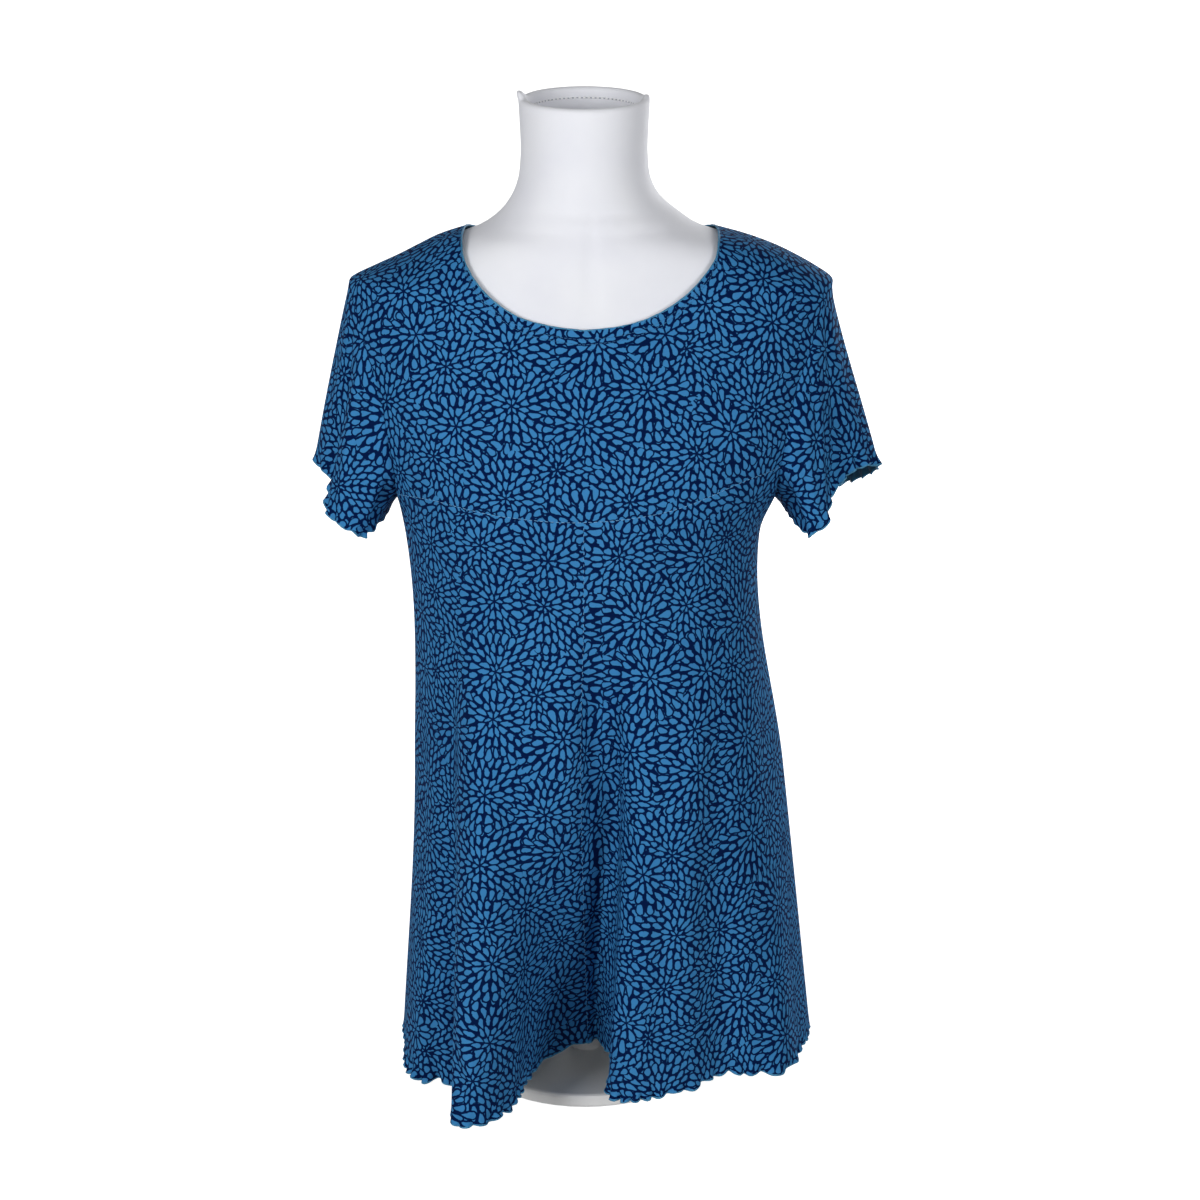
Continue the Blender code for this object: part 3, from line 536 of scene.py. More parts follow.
NECKLINE = table(
    "turn left right height",
    (0, 0, 0, 685.5),
    (13, 26, 29, 688.5),
    (24, 50, 52, 694.5),
    (36, 71, 75, 706.5),
    (48, 87, 93, 722.0),
    (59, 96.5, 105.5, 738.0),
    (68, 98.6, 108.4, 749.0),
    (79, 99.0, 109.3, 754.0),
    (90, 98.2, 108.7, 756.3),
    (102, 95.3, 105.5, 754.6),
    (115, 90, 98, 751.5),
    (130, 77, 83, 745.5),
    (147, 53, 57, 740.5),
    (163, 27, 29, 738.5),
    (180, 0, 0, 738.0),
)
ARMHOLE = table(
    "around height angle",
    (0.00, 0.7155, 90),
    (0.05, 0.7090, 77),
    (0.11, 0.6920, 69),
    (0.20, 0.6600, 63),
    (0.28, 0.6270, 60),
    (0.36, 0.5910, 61),
    (0.43, 0.5600, 67),
    (0.47, 0.5430, 77),
    (0.50, 0.5350, 90),
    (0.53, 0.5430, 103),
    (0.57, 0.5610, 112),
    (0.64, 0.5950, 117),
    (0.72, 0.6330, 118),
    (0.80, 0.6660, 115),
    (0.89, 0.6940, 109),
    (0.95, 0.7090, 102),
    (1.00, 0.7155, 90),
)
YOKE_SEAM = table(
    "angle height",
    (-48, 0.5500),
    (-24, 0.5430),
    (0, 0.5400),
    (24, 0.5470),
    (48, 0.5660),
)
YOKE_END_LEFT = 0.466
YOKE_END_RIGHT = 0.404
FALL = table(
    "angle mid_x mid_y hem_x hem_y hem_z",
    (0, -2, -127, 2, -28, 48),
    (6, 16, -111, 12, -26, 48),
    (10, 27, -113, 25, -72, 48),
    (14, 34, -131, 20, -125, 48),
    (19, 46, -140, 33, -141, 46),
    (28, 70, -139, 62, -136, 49),
    (38, 92, -131, 90, -125, 50),
    (48, 111, -116, 114, -103, 53),
    (60, 131, -98, 142, -98, 51),
    (72, 150, -72, 175, -84, 48),
    (81, 163, -40, 186, -48, 48),
    (90, 170, -6, 198, -8, 48),
    (104, 163, 38, 194, 46, 47),
    (120, 141, 76, 168, 92, 45),
    (134, 108, 95, 131, 118, 43),
    (146, 80, 98, 98, 108, 43),
    (158, 50, 104, 62, 126, 41),
    (170, 20, 108, 24, 138, 40),
    (182, -10, 100, -14, 110, 41),
    (194, -40, 102, -50, 120, 39),
    (206, -68, 106, -84, 136, 37),
    (222, -104, 92, -118, 110, 36),
    (238, -131, 66, -148, 86, 35),
    (254, -145, 34, -164, 44, 33),
    (270, -147, 0, -160, 0, 33),
    (282, -142, -30, -156, -42, 33),
    (294, -131, -58, -144, -72, 33),
    (306, -119, -76, -122, -78, 34),
    (313, -107, -92, -101, -92, 33),
    (318, -103, -118, -111, -142, 33),
    (324, -92, -137, -100, -158, 31),
    (331, -74, -142, -80, -150, 32),
    (338, -54, -137, -62, -126, 33),
    (344, -40, -137, -50, -82, 37),
    (351, -22, -136, -32, -44, 42),
)

# Soft creases in the cloth, in millimetres. Face is -1 on the front and 1 on the back,
# seen straight on: from x, z to x, z, bowed to the side, so deep (in) or high (out) and
# so wide.
CREASES = table(
    "face from_x from_z to_x to_z bow depth width",
    (-1, -78, 470, -46, 250, 10, -3.6, 13),
    (-1, -60, 455, -26, 240, 10, 2.2, 12),
    (-1, 4, 455, 26, 225, 4, -5.5, 13),
    (-1, -97, 440, -78, 190, -6, 1.6, 13),
    (-1, 112, 410, 106, 90, 5, -3.6, 14),
    (-1, 94, 380, 84, 80, 5, 1.6, 14),
    (-1, 58, 330, 64, 70, -4, -2.0, 12),
    (-1, 36, 470, 44, 300, 3, 2.4, 11),
    (-1, -112, 140, -88, 34, 8, -3.8, 8),
    (-1, -103, 150, -78, 40, 8, 2.2, 8),
    (-1, -74, 110, -66, 30, -4, -1.8, 7),
    (-1, -135, 400, -142, 120, 5, -3.0, 12),
    (-1, -124, 300, -134, 60, -4, 1.5, 9),
    (-1, 146, 420, 158, 200, -6, -2.8, 13),
    (-1, 136, 250, 148, 60, 4, 2.0, 13),
    (-1, -140, 560, -96, 590, 8, -2.2, 9),
    (-1, -142, 585, -104, 622, 8, 1.3, 9),
    (-1, 142, 575, 100, 606, -8, -2.2, 9),
    (-1, 146, 600, 112, 640, -8, 1.2, 9),
    (-1, -124, 655, -84, 600, 6, -1.0, 12),
    (-1, 128, 660, 92, 606, -6, -1.0, 12),
    (-1, -30, 655, 28, 668, -6, -0.9, 12),
    (-1, -96, 715, -128, 672, 4, 1.0, 11),
    (-1, 106, 715, 134, 672, -4, 1.0, 11),
    (-1, -36, 530, -44, 440, 3, -1.0, 9),
    (-1, 64, 532, 78, 440, -3, -1.2, 10),
    (-1, -8, 520, -22, 410, 2, -1.1, 9),
    (1, -92, 520, -96, 300, 8, -2.4, 15),
    (1, -58, 500, -66, 200, -8, 1.8, 16),
    (1, -22, 540, -18, 260, 5, -2.2, 14),
    (1, 12, 470, 16, 160, -6, 1.9, 16),
    (1, 48, 520, 58, 240, 6, -2.4, 14),
    (1, 88, 500, 96, 260, -7, 1.7, 15),
    (1, 112, 400, 132, 120, 6, -2.2, 13),
    (1, -128, 420, -146, 140, -5, -2.0, 13),
    (1, -80, 560, 60, 548, 14, 1.8, 11),
    (1, -60, 536, 76, 526, 12, -1.8, 9),
    (1, -132, 610, -88, 560, 7, -1.6, 11),
    (1, 136, 616, 90, 566, -7, -1.6, 11),
    (1, -30, 704, 34, 706, 6, 1.0, 11),
    (1, -100, 690, -60, 640, 5, -1.0, 14),
    (1, 104, 694, 66, 640, -5, -1.0, 14),
    (1, -70, 120, -62, 36, 4, 2.0, 9),
    (1, 34, 110, 42, 40, 4, -2.0, 9),
    (1, 104, 120, 112, 42, -4, 1.8, 9),
)


def half_width(height, side):
    return curve(SHIRT["height"], SHIRT["right" if side > 0 else "left"], height)


def shirt(angle, level):
    """A point of the body of the shirt. Down to the free fall it is a section, and level
    is its height. From there each line of cloth runs on through its places at mid-fall
    and at the hem."""
    angle, level = np.broadcast_arrays(np.asarray(angle, float), np.asarray(level, float))
    places = [
        np.stack([FALL[x], FALL[y], height], axis=1) * MILLIMETRE
        for x, y, height in (
            ("mid_x", "mid_y", np.full(len(FALL["angle"]), MID_FALL / MILLIMETRE)),
            ("hem_x", "hem_y", FALL["hem_z"]),
        )
    ]
    fitted = section(SHIRT, angle, np.maximum(level, FREE_FALL))
    mid, hem = (curve(FALL["angle"], place, angle, turn=360) for place in places)
    top = section(SHIRT, angle, np.full_like(level, FREE_FALL))
    nudge = 0.004
    leave = (top - section(SHIRT, angle, np.full_like(level, FREE_FALL + nudge))) / nudge
    upper, lower = FREE_FALL - MID_FALL, MID_FALL - HEM
    pass_mid = ((mid - top) / upper * lower + (hem - mid) / lower * upper) / (upper + lower)
    arrive = (hem - mid) / lower
    drop = (FREE_FALL - level)[..., None]
    high = hermite(top, leave * upper, mid, pass_mid * upper, drop / upper)
    low = hermite(mid, pass_mid * lower, hem, arrive * lower, (drop - upper) / lower)
    falling = np.where(drop < upper, high, low)
    return np.where((level < FREE_FALL)[..., None], falling, fitted)


def shirt_facing(angle, level):
    """The outward direction of the body: the cross product of its two slopes."""
    turn, step = 0.8, 0.001
    level = np.maximum(level, HEM + step)
    across = shirt(angle + turn, level) - shirt(angle - turn, level)
    down = shirt(angle, level - step) - shirt(angle, level + step)
    return unit(np.cross(down, across))


def creased(points, outward):
    """How far creases push the cloth out: bells across bowed lines, fading to nothing at
    the ends of each, on the side that the line belongs to."""
    x, z = points[..., 0] / MILLIMETRE, points[..., 2] / MILLIMETRE
    push = np.zeros_like(x)
    for face, x0, z0, x1, z1, bow, depth, width in zip(*CREASES.values()):
        run = math.hypot(x1 - x0, z1 - z0)
        along = ((x - x0) * (x1 - x0) + (z - z0) * (z1 - z0)) / run**2
        aside = ((x - x0) * (z1 - z0) - (z - z0) * (x1 - x0)) / run
        aside = aside - bow * (1 - (2 * along - 1) ** 2)
        fade = np.sin(np.pi * np.clip(along, 0, 1)) ** 0.8
        side = np.clip(outward[..., 1] * face * 2, 0, 1)
        push += depth * hill(aside, width * (0.7 + 0.5 * along)) * fade * side
    return push * MILLIMETRE


def near_cut(distance):
    """1 at a cut edge, fading to nothing within a few times the depth of the ruffle."""
    return np.exp(-((distance / RUFFLE_DEPTH) ** 1.4))


def rolling(length, seed):
    """A wavy line along a cut edge, by place in metres: waves 9 to 50 mm long whose
    length, height and lean drift, as a stretched overlocked edge has."""
    s = length / MILLIMETRE
    phase = s / RUFFLE_WAVE + 0.80 * np.sin(s / 41 + seed)
    phase = phase + 0.40 * np.sin(s / 17.3 + 2.3 * seed)
    height = RUFFLE_HEIGHT + 1.1 * np.sin(s / 29 + 1.7 * seed)
    height = height + 0.9 * np.sin(s / 67 + 3.1 * seed)
    wave = np.sin(2 * np.pi * phase) + 0.25 * np.sin(4 * np.pi * phase + seed)
    return height * wave * MILLIMETRE


def drawn_in(angle, level):
    """How far the seams pull the cloth in: bells across the yoke seam, the centre seam
    below it and the side seams."""
    turn = np.mod(angle + 180, 360) - 180
    seam = curve(YOKE_SEAM["angle"], YOKE_SEAM["height"], turn)
    on_yoke = np.clip((66 - np.abs(turn)) / 8, 0, 1)
    below_yoke = np.clip((seam - level) / 0.004, 0, 1)
    below_arm = np.clip((UNDERARM - level) / 0.02, 0, 1)
    pull = YOKE_PULL * hill(level - seam, 0.0028) * on_yoke
    pull = pull + SEAM_PULL * hill(turn, 1.3) * below_yoke
    pull = pull + SEAM_PULL * hill(np.abs(turn) - 90, 1.2) * below_arm
    return -pull * MILLIMETRE


def hem_place(angle):
    """How far around the hem a direction is, in metres, from the centre seam."""
    fine = np.linspace(-360, 360, 5761)
    return np.interp(angle, fine, travel(shirt(fine, HEM + np.zeros_like(fine))))


def body_cloth(angle, level):
    """The middle of the cloth: the body's surface with its creases and, near the hem,
    the ruffle, which swings out and in and lifts the edge a little as it turns."""
    points, outward = shirt(angle, level), shirt_facing(angle, level)
    grow = near_cut(level - HEM)
    place = hem_place(np.mod(angle, 360))
    swing = rolling(place, HEM_SEED) * grow
    push = creased(points, outward) + swing + drawn_in(angle, level)
    points = points + outward * push[..., None]
    lift = np.sin(place / MILLIMETRE / 5.3 + 1.5 * np.sin(place / 0.031))
    points[..., 2] += HEM_LIFT * MILLIMETRE * lift * grow
    return points


def crossed(corners):
    """The two diagonals of each four-cornered cell."""
    return corners[:, 2] - corners[:, 0], corners[:, 3] - corners[:, 1]


def lay_flat(points):
    """The flat cut of a grid of cloth, as places in metres for each point: every few
    rows and columns unrolled with the least stretch, upright, at true area."""
    rows, columns = points.shape[:2]
    keep_rows = np.unique(np.linspace(0, rows - 1, min(rows, CUT_ROWS)).astype(int))
    keep_columns = np.linspace(0, columns - 1, min(columns, CUT_COLUMNS))
    keep_columns = np.unique(keep_columns.astype(int))
    coarse = points[np.ix_(keep_rows, keep_columns)]
    index = np.arange(coarse.shape[0] * coarse.shape[1]).reshape(coarse.shape[:2])
    cells = quads(index)
    mesh = smooth_mesh("cut", coarse, cells.tolist(), [])
    mesh.uv_layers.new(name="cut")
    cut = put("cut", mesh)
    bpy.context.view_layer.objects.active = cut
    cut.select_set(True)
    bpy.ops.object.mode_set(mode="EDIT")
    bpy.ops.mesh.select_all(action="SELECT")
    bpy.ops.uv.unwrap(method="MINIMUM_STRETCH", iterations=12, margin=0)
    bpy.ops.object.mode_set(mode="OBJECT")
    loops = np.empty(len(mesh.loops) * 2)
    mesh.uv_layers[0].data.foreach_get("uv", loops)
    corner = np.empty(len(mesh.loops), int)
    mesh.loops.foreach_get("vertex_index", corner)
    flat = np.empty((index.size, 2))
    flat[corner] = loops.reshape(-1, 2)
    bpy.data.objects.remove(cut)
    bpy.data.meshes.remove(mesh)
    real = np.linalg.norm(np.cross(*crossed(coarse.reshape(-1, 3)[cells])), axis=1)
    one, two = crossed(flat[cells])
    signed = one[:, 0] * two[:, 1] - one[:, 1] * two[:, 0]
    flat = flat * math.sqrt(real.sum() / np.abs(signed).sum())
    flat = flat.reshape(*coarse.shape[:2], 2)
    upright = flat[0].mean(axis=0) - flat[-1].mean(axis=0)
    turn = math.atan2(upright[0], upright[1])
    spin = np.array([[math.cos(turn), -math.sin(turn)], [math.sin(turn), math.cos(turn)]])
    flat = (flat - flat.mean(axis=(0, 1))) @ spin.T
    if flat[:, -1, 0].mean() < flat[:, 0, 0].mean():
        flat[..., 0] *= -1
    full = np.empty((rows, columns, 2))
    for k in range(2):
        wide = np.array([np.interp(np.arange(columns), keep_columns, row)
                         for row in flat[..., k]])
        full[..., k] = np.array([np.interp(np.arange(rows), keep_rows, column)
                                 for column in wide.T]).T
    return full, real.sum() / 2


def cloth_shell(name, middle, cut, shift, edges, materials, ring=False):
    """A piece of cloth: an outer and an inner skin half the cloth from the middle
    surface, joined around its cut edges, which stay sharp. Shift says where on the print
    its flat cut lies. Edges gives outward directions for whole sewn edges, so that
    neighbours meet there. A ring's last column repeats its first."""
    rows, columns = middle.shape[:2]
    if ring:
        wrapped = np.concatenate([middle[:, -2:-1], middle, middle[:, 1:2]], axis=1)
        across = wrapped[:, 2:] - wrapped[:, :-2]
    else:
        across = np.gradient(middle, axis=1)
    normal = unit(np.cross(np.gradient(middle, axis=0), across))
    for where, directions in edges:
        if (normal[where] * directions).sum() < 0:
            normal = -normal
    for where, directions in edges:
        normal[where] = directions
    if ring:
        normal[:, -1] = normal[:, 0]
    kept = columns - 1 if ring else columns
    skins = np.stack([middle + normal * CLOTH / 2, middle - normal * CLOTH / 2])
    index = np.arange(2 * rows * kept).reshape(2, rows, kept)
    if ring:
        index = np.concatenate([index, index[:, :, :1]], axis=2)
    outer, inner = index
    corner = np.arange(rows * columns).reshape(rows, columns)
    bands = [(0, np.s_[0]), (1, np.s_[-1])]
    if not ring:
        bands += [(1, np.s_[:, 0]), (0, np.s_[:, -1])]
    faces = [quads(outer), quads(inner)[:, ::-1]]
    corners = [quads(corner), quads(corner)[:, ::-1]]
    for flip, where in bands:
        a, b, c = outer[where], inner[where], corner[where]
        band = np.stack([a[:-1], a[1:], b[1:], b[:-1]], axis=-1)
        band_corner = np.stack([c[:-1], c[1:], c[1:], c[:-1]], axis=-1)
        faces.append(band[:, ::-1] if flip else band)
        corners.append(band_corner[:, ::-1] if flip else band_corner)
    skin = len(faces[0])
    faces, corners = np.concatenate(faces), np.concatenate(corners)
    points = skins[:, :, :kept].reshape(-1, 3)
    if (np.cross(*crossed(points[faces[:1]])) * normal[0, 0]).sum() < 0:
        faces, corners = faces[:, ::-1], corners[:, ::-1]
    mesh = smooth_mesh(name, points, faces.tolist(), materials)
    layer = mesh.uv_layers.new(name="cloth")
    layer.data.foreach_set("uv", (cut + shift).reshape(-1, 2)[corners.ravel()].ravel())
    slot = np.zeros(len(faces), np.int32)
    slot[skin:2 * skin] = 1
    mesh.polygons.foreach_set("material_index", slot)
    border = np.zeros((rows, kept), bool)
    border[[0, -1]] = True
    if not ring:
        border[:, [0, -1]] = True
    border = np.tile(border.ravel(), 2)
    ends = np.empty(len(mesh.edges) * 2, np.int32)
    mesh.edges.foreach_get("vertices", ends)
    ends = ends.reshape(-1, 2)
    same = (ends[:, 0] < rows * kept) == (ends[:, 1] < rows * kept)
    sharp = border[ends].all(axis=1) & same
    mark = mesh.attributes.new("sharp_edge", "BOOLEAN", "EDGE")
    mark.data.foreach_set("value", sharp)
    mesh.update()
    return put(name, mesh)


# The print lies on the flat cut, in millimetres. Bursts stand about 50 mm apart. Each is
# made of rings of teardrop petals that point to its centre, on navy ground. Each ring has
# some petals more than the one inside it.
BURST_SPACING = 52
BURST_SCATTER = 0.78
RING_PITCH = 7.9
RINGS_GROW = 6.6
FIRST_RING = 6.5
PETAL_GAP = 1.5
PETAL_GROWTH = 0.1
PETAL_SOFT = 0.15
PETAL_HALF = 2.45
PETAL_TAPER = 1.25
NO_PETAL = 20
OVER_LIMIT = 3.0
UNDER_EXTRA = 9.0
UNDER_LIMIT = OVER_LIMIT + UNDER_EXTRA
PETAL_BLUE = (0.031, 0.180, 0.425, 1)
PETAL_PALE = (0.056, 0.255, 0.550, 1)
NAVY = (0.0006, 0.0068, 0.046, 1)
NAVY_PALE = (0.0014, 0.0130, 0.070, 1)
INSIDE_TEAL = (0.018, 0.105, 0.185, 1)
INSIDE_PALE = (0.030, 0.150, 0.250, 1)
KNIT_RIB = 0.75
KNIT_STITCH = 0.55


def vector_math(first, operation, *others, output=0):
    inputs = dict(enumerate((first,) + others))
    return first.node("ShaderNodeVectorMath", {"operation": operation}, inputs, output)


def length_of(vector):
    return vector_math(vector, "LENGTH", output="Value")


def parts_of(vector):
    x = vector.node("ShaderNodeSeparateXYZ", {}, {0: vector})
    return x, x.twin(1), x.twin(2)


def petal_ring(radius, heading, ring, pitch, chance, apart, other_heading, limit):
    """Distance to the nearest petal of one ring, negative inside it. The ring is cut
    into equal sectors with a teardrop in each: a round outer end, and sides that curve in
    to a point nearer the centre. Petals that lie further than the limit past the middle
    of the way to the next burst are left out."""
    count = (ring * RINGS_GROW + FIRST_RING).math("FLOOR")
    start = (chance * 17.3 + ring * 0.618).math("FRACT")
    sector = heading * count * (1 / (2 * math.pi)) + start
    number = sector.math("FLOOR")
    aside = (sector - number - 0.5).math("ABSOLUTE")
    seed = number.node("ShaderNodeCombineXYZ", {}, {0: number, 1: ring, 2: chance * 91})
    luck = seed.node(
        "ShaderNodeTexWhiteNoise", {"noise_dimensions": "3D"}, {"Vector": seed}
    )
    outer = (ring + 1) * pitch + luck * 1.7 - 1.3
    inner = ring * pitch - ring.math("MINIMUM", 1.0) * 2.9 + 0.4
    breadth = ring * pitch + pitch * 0.66
    half = (breadth / count * math.pi - PETAL_GAP / 2).math("MINIMUM", PETAL_HALF)
    half = half * (luck * 0.16 + 0.86)
    centre = outer - half
    wide = radius * (2 * math.pi) / count
    across = aside * wide
    ahead = radius - centre
    round_end = (across * across + ahead * ahead).math("SQRT") - half
    tail = (ahead * -1 / (centre - inner)).math("MINIMUM", 1.0).math("MAXIMUM", 0.0)
    sides = (across - half * (1 - tail.math("POWER", PETAL_TAPER))) * 0.94
    past = ahead.math("GREATER_THAN", 0.0)
    drop = (sides + past * (round_end - sides)).math("MAXIMUM", inner - radius)
    beside = across - wide * 0.5 + (PETAL_GAP / 2 + PETAL_GROWTH)
    drop = drop.math("MAXIMUM", beside)
    turn = (number + 0.5 - start) * (2 * math.pi) / count - other_heading
    beyond = (outer + inner) * turn.math("COSINE") - apart
    return drop + beyond.math("GREATER_THAN", limit) * NO_PETAL


def burst(place, centre, chance, other, limit):
    """The petals of a burst, of the ring that a point is in and of the ring next to it:
    the distance to the nearest, and 1 on a petal, with a gap kept between the rings."""
    away = vector_math(place, "SUBTRACT", centre)
    x, y, _ = parts_of(away)
    radius = length_of(away)
    heading = y.math("ARCTAN2", x)
    ahead = vector_math(other, "SUBTRACT", centre)
    apart = length_of(ahead)
    ox, oy, _ = parts_of(ahead)
    other_heading = oy.math("ARCTAN2", ox)
    pitch = chance * 2.0 + (RING_PITCH - 1.0)
    depth = radius / pitch
    ring = depth.math("FLOOR")
    beside = (ring + (depth - ring).math("GREATER_THAN", 0.45) * 2 - 1).math("MAXIMUM", 0.0)
    same = (ring - beside).math("ABSOLUTE").math("LESS_THAN", 0.5)
    of_burst = pitch, chance, apart, other_heading, limit
    first = petal_ring(radius, heading, ring, *of_burst)
    second = petal_ring(radius, heading, beside, *of_burst) + same * NO_PETAL
    nearest = first.math("MINIMUM", second)
    on = nearest.ramp(PETAL_GROWTH + PETAL_SOFT, PETAL_GROWTH - PETAL_SOFT)
    between = first.math("MAXIMUM", second) - nearest
    return nearest, on * between.ramp(PETAL_GAP * 0.8, PETAL_GAP * 1.1)


def petals(place):
    """1 on a petal and 0 on the ground between, from the two nearest bursts. One of them,
    picked by chance, lies over the other, whose petals stop a gap short of it."""
    inputs = {"Vector": place, "Scale": 1 / BURST_SPACING, "Randomness": BURST_SCATTER}
    near, far = (
        place.node("ShaderNodeTexVoronoi", {"voronoi_dimensions": "2D", "feature": feature},
                   inputs, "Position")
        for feature in ("F1", "F2")
    )
    near_chance, far_chance = (parts_of(one.twin("Color"))[0] for one in (near, far))
    over = near_chance.math("GREATER_THAN", far_chance)
    near_limit = UNDER_LIMIT - over * UNDER_EXTRA
    far_limit = over * UNDER_EXTRA + OVER_LIMIT
    near_gap, near_on = burst(place, near, near_chance, far, near_limit)
    far_gap, far_on = burst(place, far, far_chance, near, far_limit)
    clear = PETAL_GROWTH + PETAL_GAP - 0.2, PETAL_GROWTH + PETAL_GAP + 0.1
    near_on = near_on * over.math("MAXIMUM", far_gap.ramp(*clear))
    far_on = far_on * (1 - over).math("MAXIMUM", near_gap.ramp(*clear))
    return near_on.math("MAXIMUM", far_on)


def knit(place, millimetres):
    """The normal of jersey's fine relief: narrow ribs, broken into short stitches that
    step by half a stitch from one rib to the next, under a little fuzz."""
    x, y, _ = parts_of(millimetres)
    rib = (x * (1 / KNIT_RIB)).math("PINGPONG", 0.5)
    step = (x * (1 / (2 * KNIT_RIB))).math("FLOOR") * 0.5
    stitch = (y * (1 / KNIT_STITCH) + step).math("PINGPONG", 0.5)
    relief = rib * 1.2 + stitch * 0.5 + noise(place, 1300, 2.0) * 0.8
    return bump(relief, 0.00010, 0.6)


def on_cut(place):
    """Places on the flat cut, in millimetres."""
    cut = place.node("ShaderNodeUVMap", {"uv_map": "cloth"}, {})
    return vector_math(cut, "MULTIPLY", (1000.0, 1000.0, 0.0))


def drift(place, length, reach):
    """A push aside that changes over a length and reaches half of reach at most."""
    cloud = noise(place, 1 / length, 1.0, "Color")
    centred = vector_math(cloud, "SUBTRACT", (0.5, 0.5, 0.5))
    return vector_math(centred, "MULTIPLY", (reach, reach, 0.0))


jersey, shader, place = finish(
    "printed_jersey", {"Roughness": 0.9, "Specular IOR Level": 0.02}
)
cut_place = on_cut(place)
drawn_at = vector_math(cut_place, "ADD", drift(cut_place, length=26, reach=7.0))
drawn_at = vector_math(drawn_at, "ADD", drift(cut_place, length=4.5, reach=1.5))
melange = noise(cut_place, 2.2, 3.0)
worn = noise(place, 14, 3.0)
petal_colour = (melange * 0.75 + worn * 0.35).ramp(0.3, 0.8).between(PETAL_BLUE, PETAL_PALE)
ground = melange.ramp(0.3, 0.75).between(NAVY, NAVY_PALE)
feed(
    shader,
    Base_Color=petals(drawn_at).between(ground, petal_colour),
    Roughness=melange * 0.1 + 0.8,
    Normal=knit(place, cut_place),
)
inside, shader, place = finish(
    "jersey_inside", {"Roughness": 0.9, "Sheen Weight": 0.1, "Specular IOR Level": 0.2}
)
cut_place = on_cut(place)
feed(
    shader,
    Base_Color=noise(cut_place, 1.8, 3.0).ramp(0.3, 0.7).between(INSIDE_TEAL, INSIDE_PALE),
    Normal=knit(place, cut_place),
)


# The front yoke: from the shoulders and the neckline down to the curved seam below the
# bust, with the stitches of that seam. The functions here place the seams and the edges
# of all the panels.
def on_armhole(around, side):
    """Direction and height of a point of the armhole seam on one side."""
    angle = curve(ARMHOLE["around"], ARMHOLE["angle"], around)
    return side * angle, curve(ARMHOLE["around"], ARMHOLE["height"], around)


def seam_knots():
    """The yoke seam with both its ends on the armhole."""
    left, left_height = on_armhole(YOKE_END_LEFT, -1)
    right, right_height = on_armhole(YOKE_END_RIGHT, 1)
    angle = np.concatenate([[left], YOKE_SEAM["angle"], [right]])
    return angle, np.concatenate([[left_height], YOKE_SEAM["height"], [right_height]])


def yoke_seam(angle):
    return curve(*seam_knots(), angle)


def top_edge(share, back):
    """Place to the side and height, as seen from the front, along the top of a panel
    from the left shoulder tip (-1) by the neckline to the right shoulder tip (1)."""
    size = np.abs(share)
    turn = np.clip(size / NECK_SHARE, 0, 1) * 90
    places = np.stack([NECKLINE[column] for column in ("left", "right", "height")], axis=1)
    places = places * MILLIMETRE
    left, right, neck = curve(NECKLINE["turn"], places, 180 - turn if back else turn).T
    along = np.clip((size - NECK_SHARE) / (1 - NECK_SHARE), 0, 1)
    ridge = NECK_POINT + (SHOULDER_TIP - NECK_POINT) * along**RIDGE_DENSITY
    on_ridge = (size > NECK_SHARE) | np.isclose(size, NECK_SHARE)
    left = np.where(on_ridge, half_width(ridge, -1), left)
    right = np.where(on_ridge, half_width(ridge, 1), right)
    return np.where(share < 0, -left, right), np.where(on_ridge, ridge, neck)


def width_beside(side, height):
    """The half width of the body on the side that a number's sign says."""
    return np.where(side < 0, half_width(height, -1), half_width(height, 1))


def flat_x(angle, height):
    """How far to the side a point is, as seen from the front."""
    return width_beside(angle, height) * np.sin(np.radians(angle))


def upper_part(bottom, bottom_height, edges, back):
    """Directions and heights of the rows from the shoulders and the neckline down to a
    bottom row, between two armhole edges that are given as places around the armhole.
    Seen from the front, the lines are nearly straight."""
    bottom_x = flat_x(bottom, bottom_height)
    share = np.where(bottom_x < 0, -bottom_x / bottom_x[0], bottom_x / bottom_x[-1])
    top_share = share.copy()
    for side in (-1, 1):
        corner = np.argmin(np.abs(share - side * NECK_SHARE))
        stops = [0, abs(share[corner]), 1]
        mine = share * side > 0
        top_share[mine] = side * np.interp(np.abs(share[mine]), stops, [0, NECK_SHARE, 1])
    top_x, top_height = top_edge(top_share, back)
    down = (np.linspace(0, 1, len(edges[0])) ** SHOULDER_DENSITY)[:, None]
    x = (1 - down) * top_x + down * bottom_x
    height = (1 - down) * top_height + down * bottom_height
    for side, edge, end in ((-1, edges[0], 0), (1, edges[1], -1)):
        turn, level = on_armhole(edge, side)
        if back:
            turn = side * 180 - turn
        near = np.where(share * side > 0, np.abs(share) ** 4, 0)
        x = x + near * (flat_x(turn, level) - x[:, end])[:, None]
        height = height + near * (level - height[:, end])[:, None]
    turn = np.degrees(np.arcsin(np.clip(x / width_beside(x, height), -1, 1)))
    return (180 - turn if back else turn), height


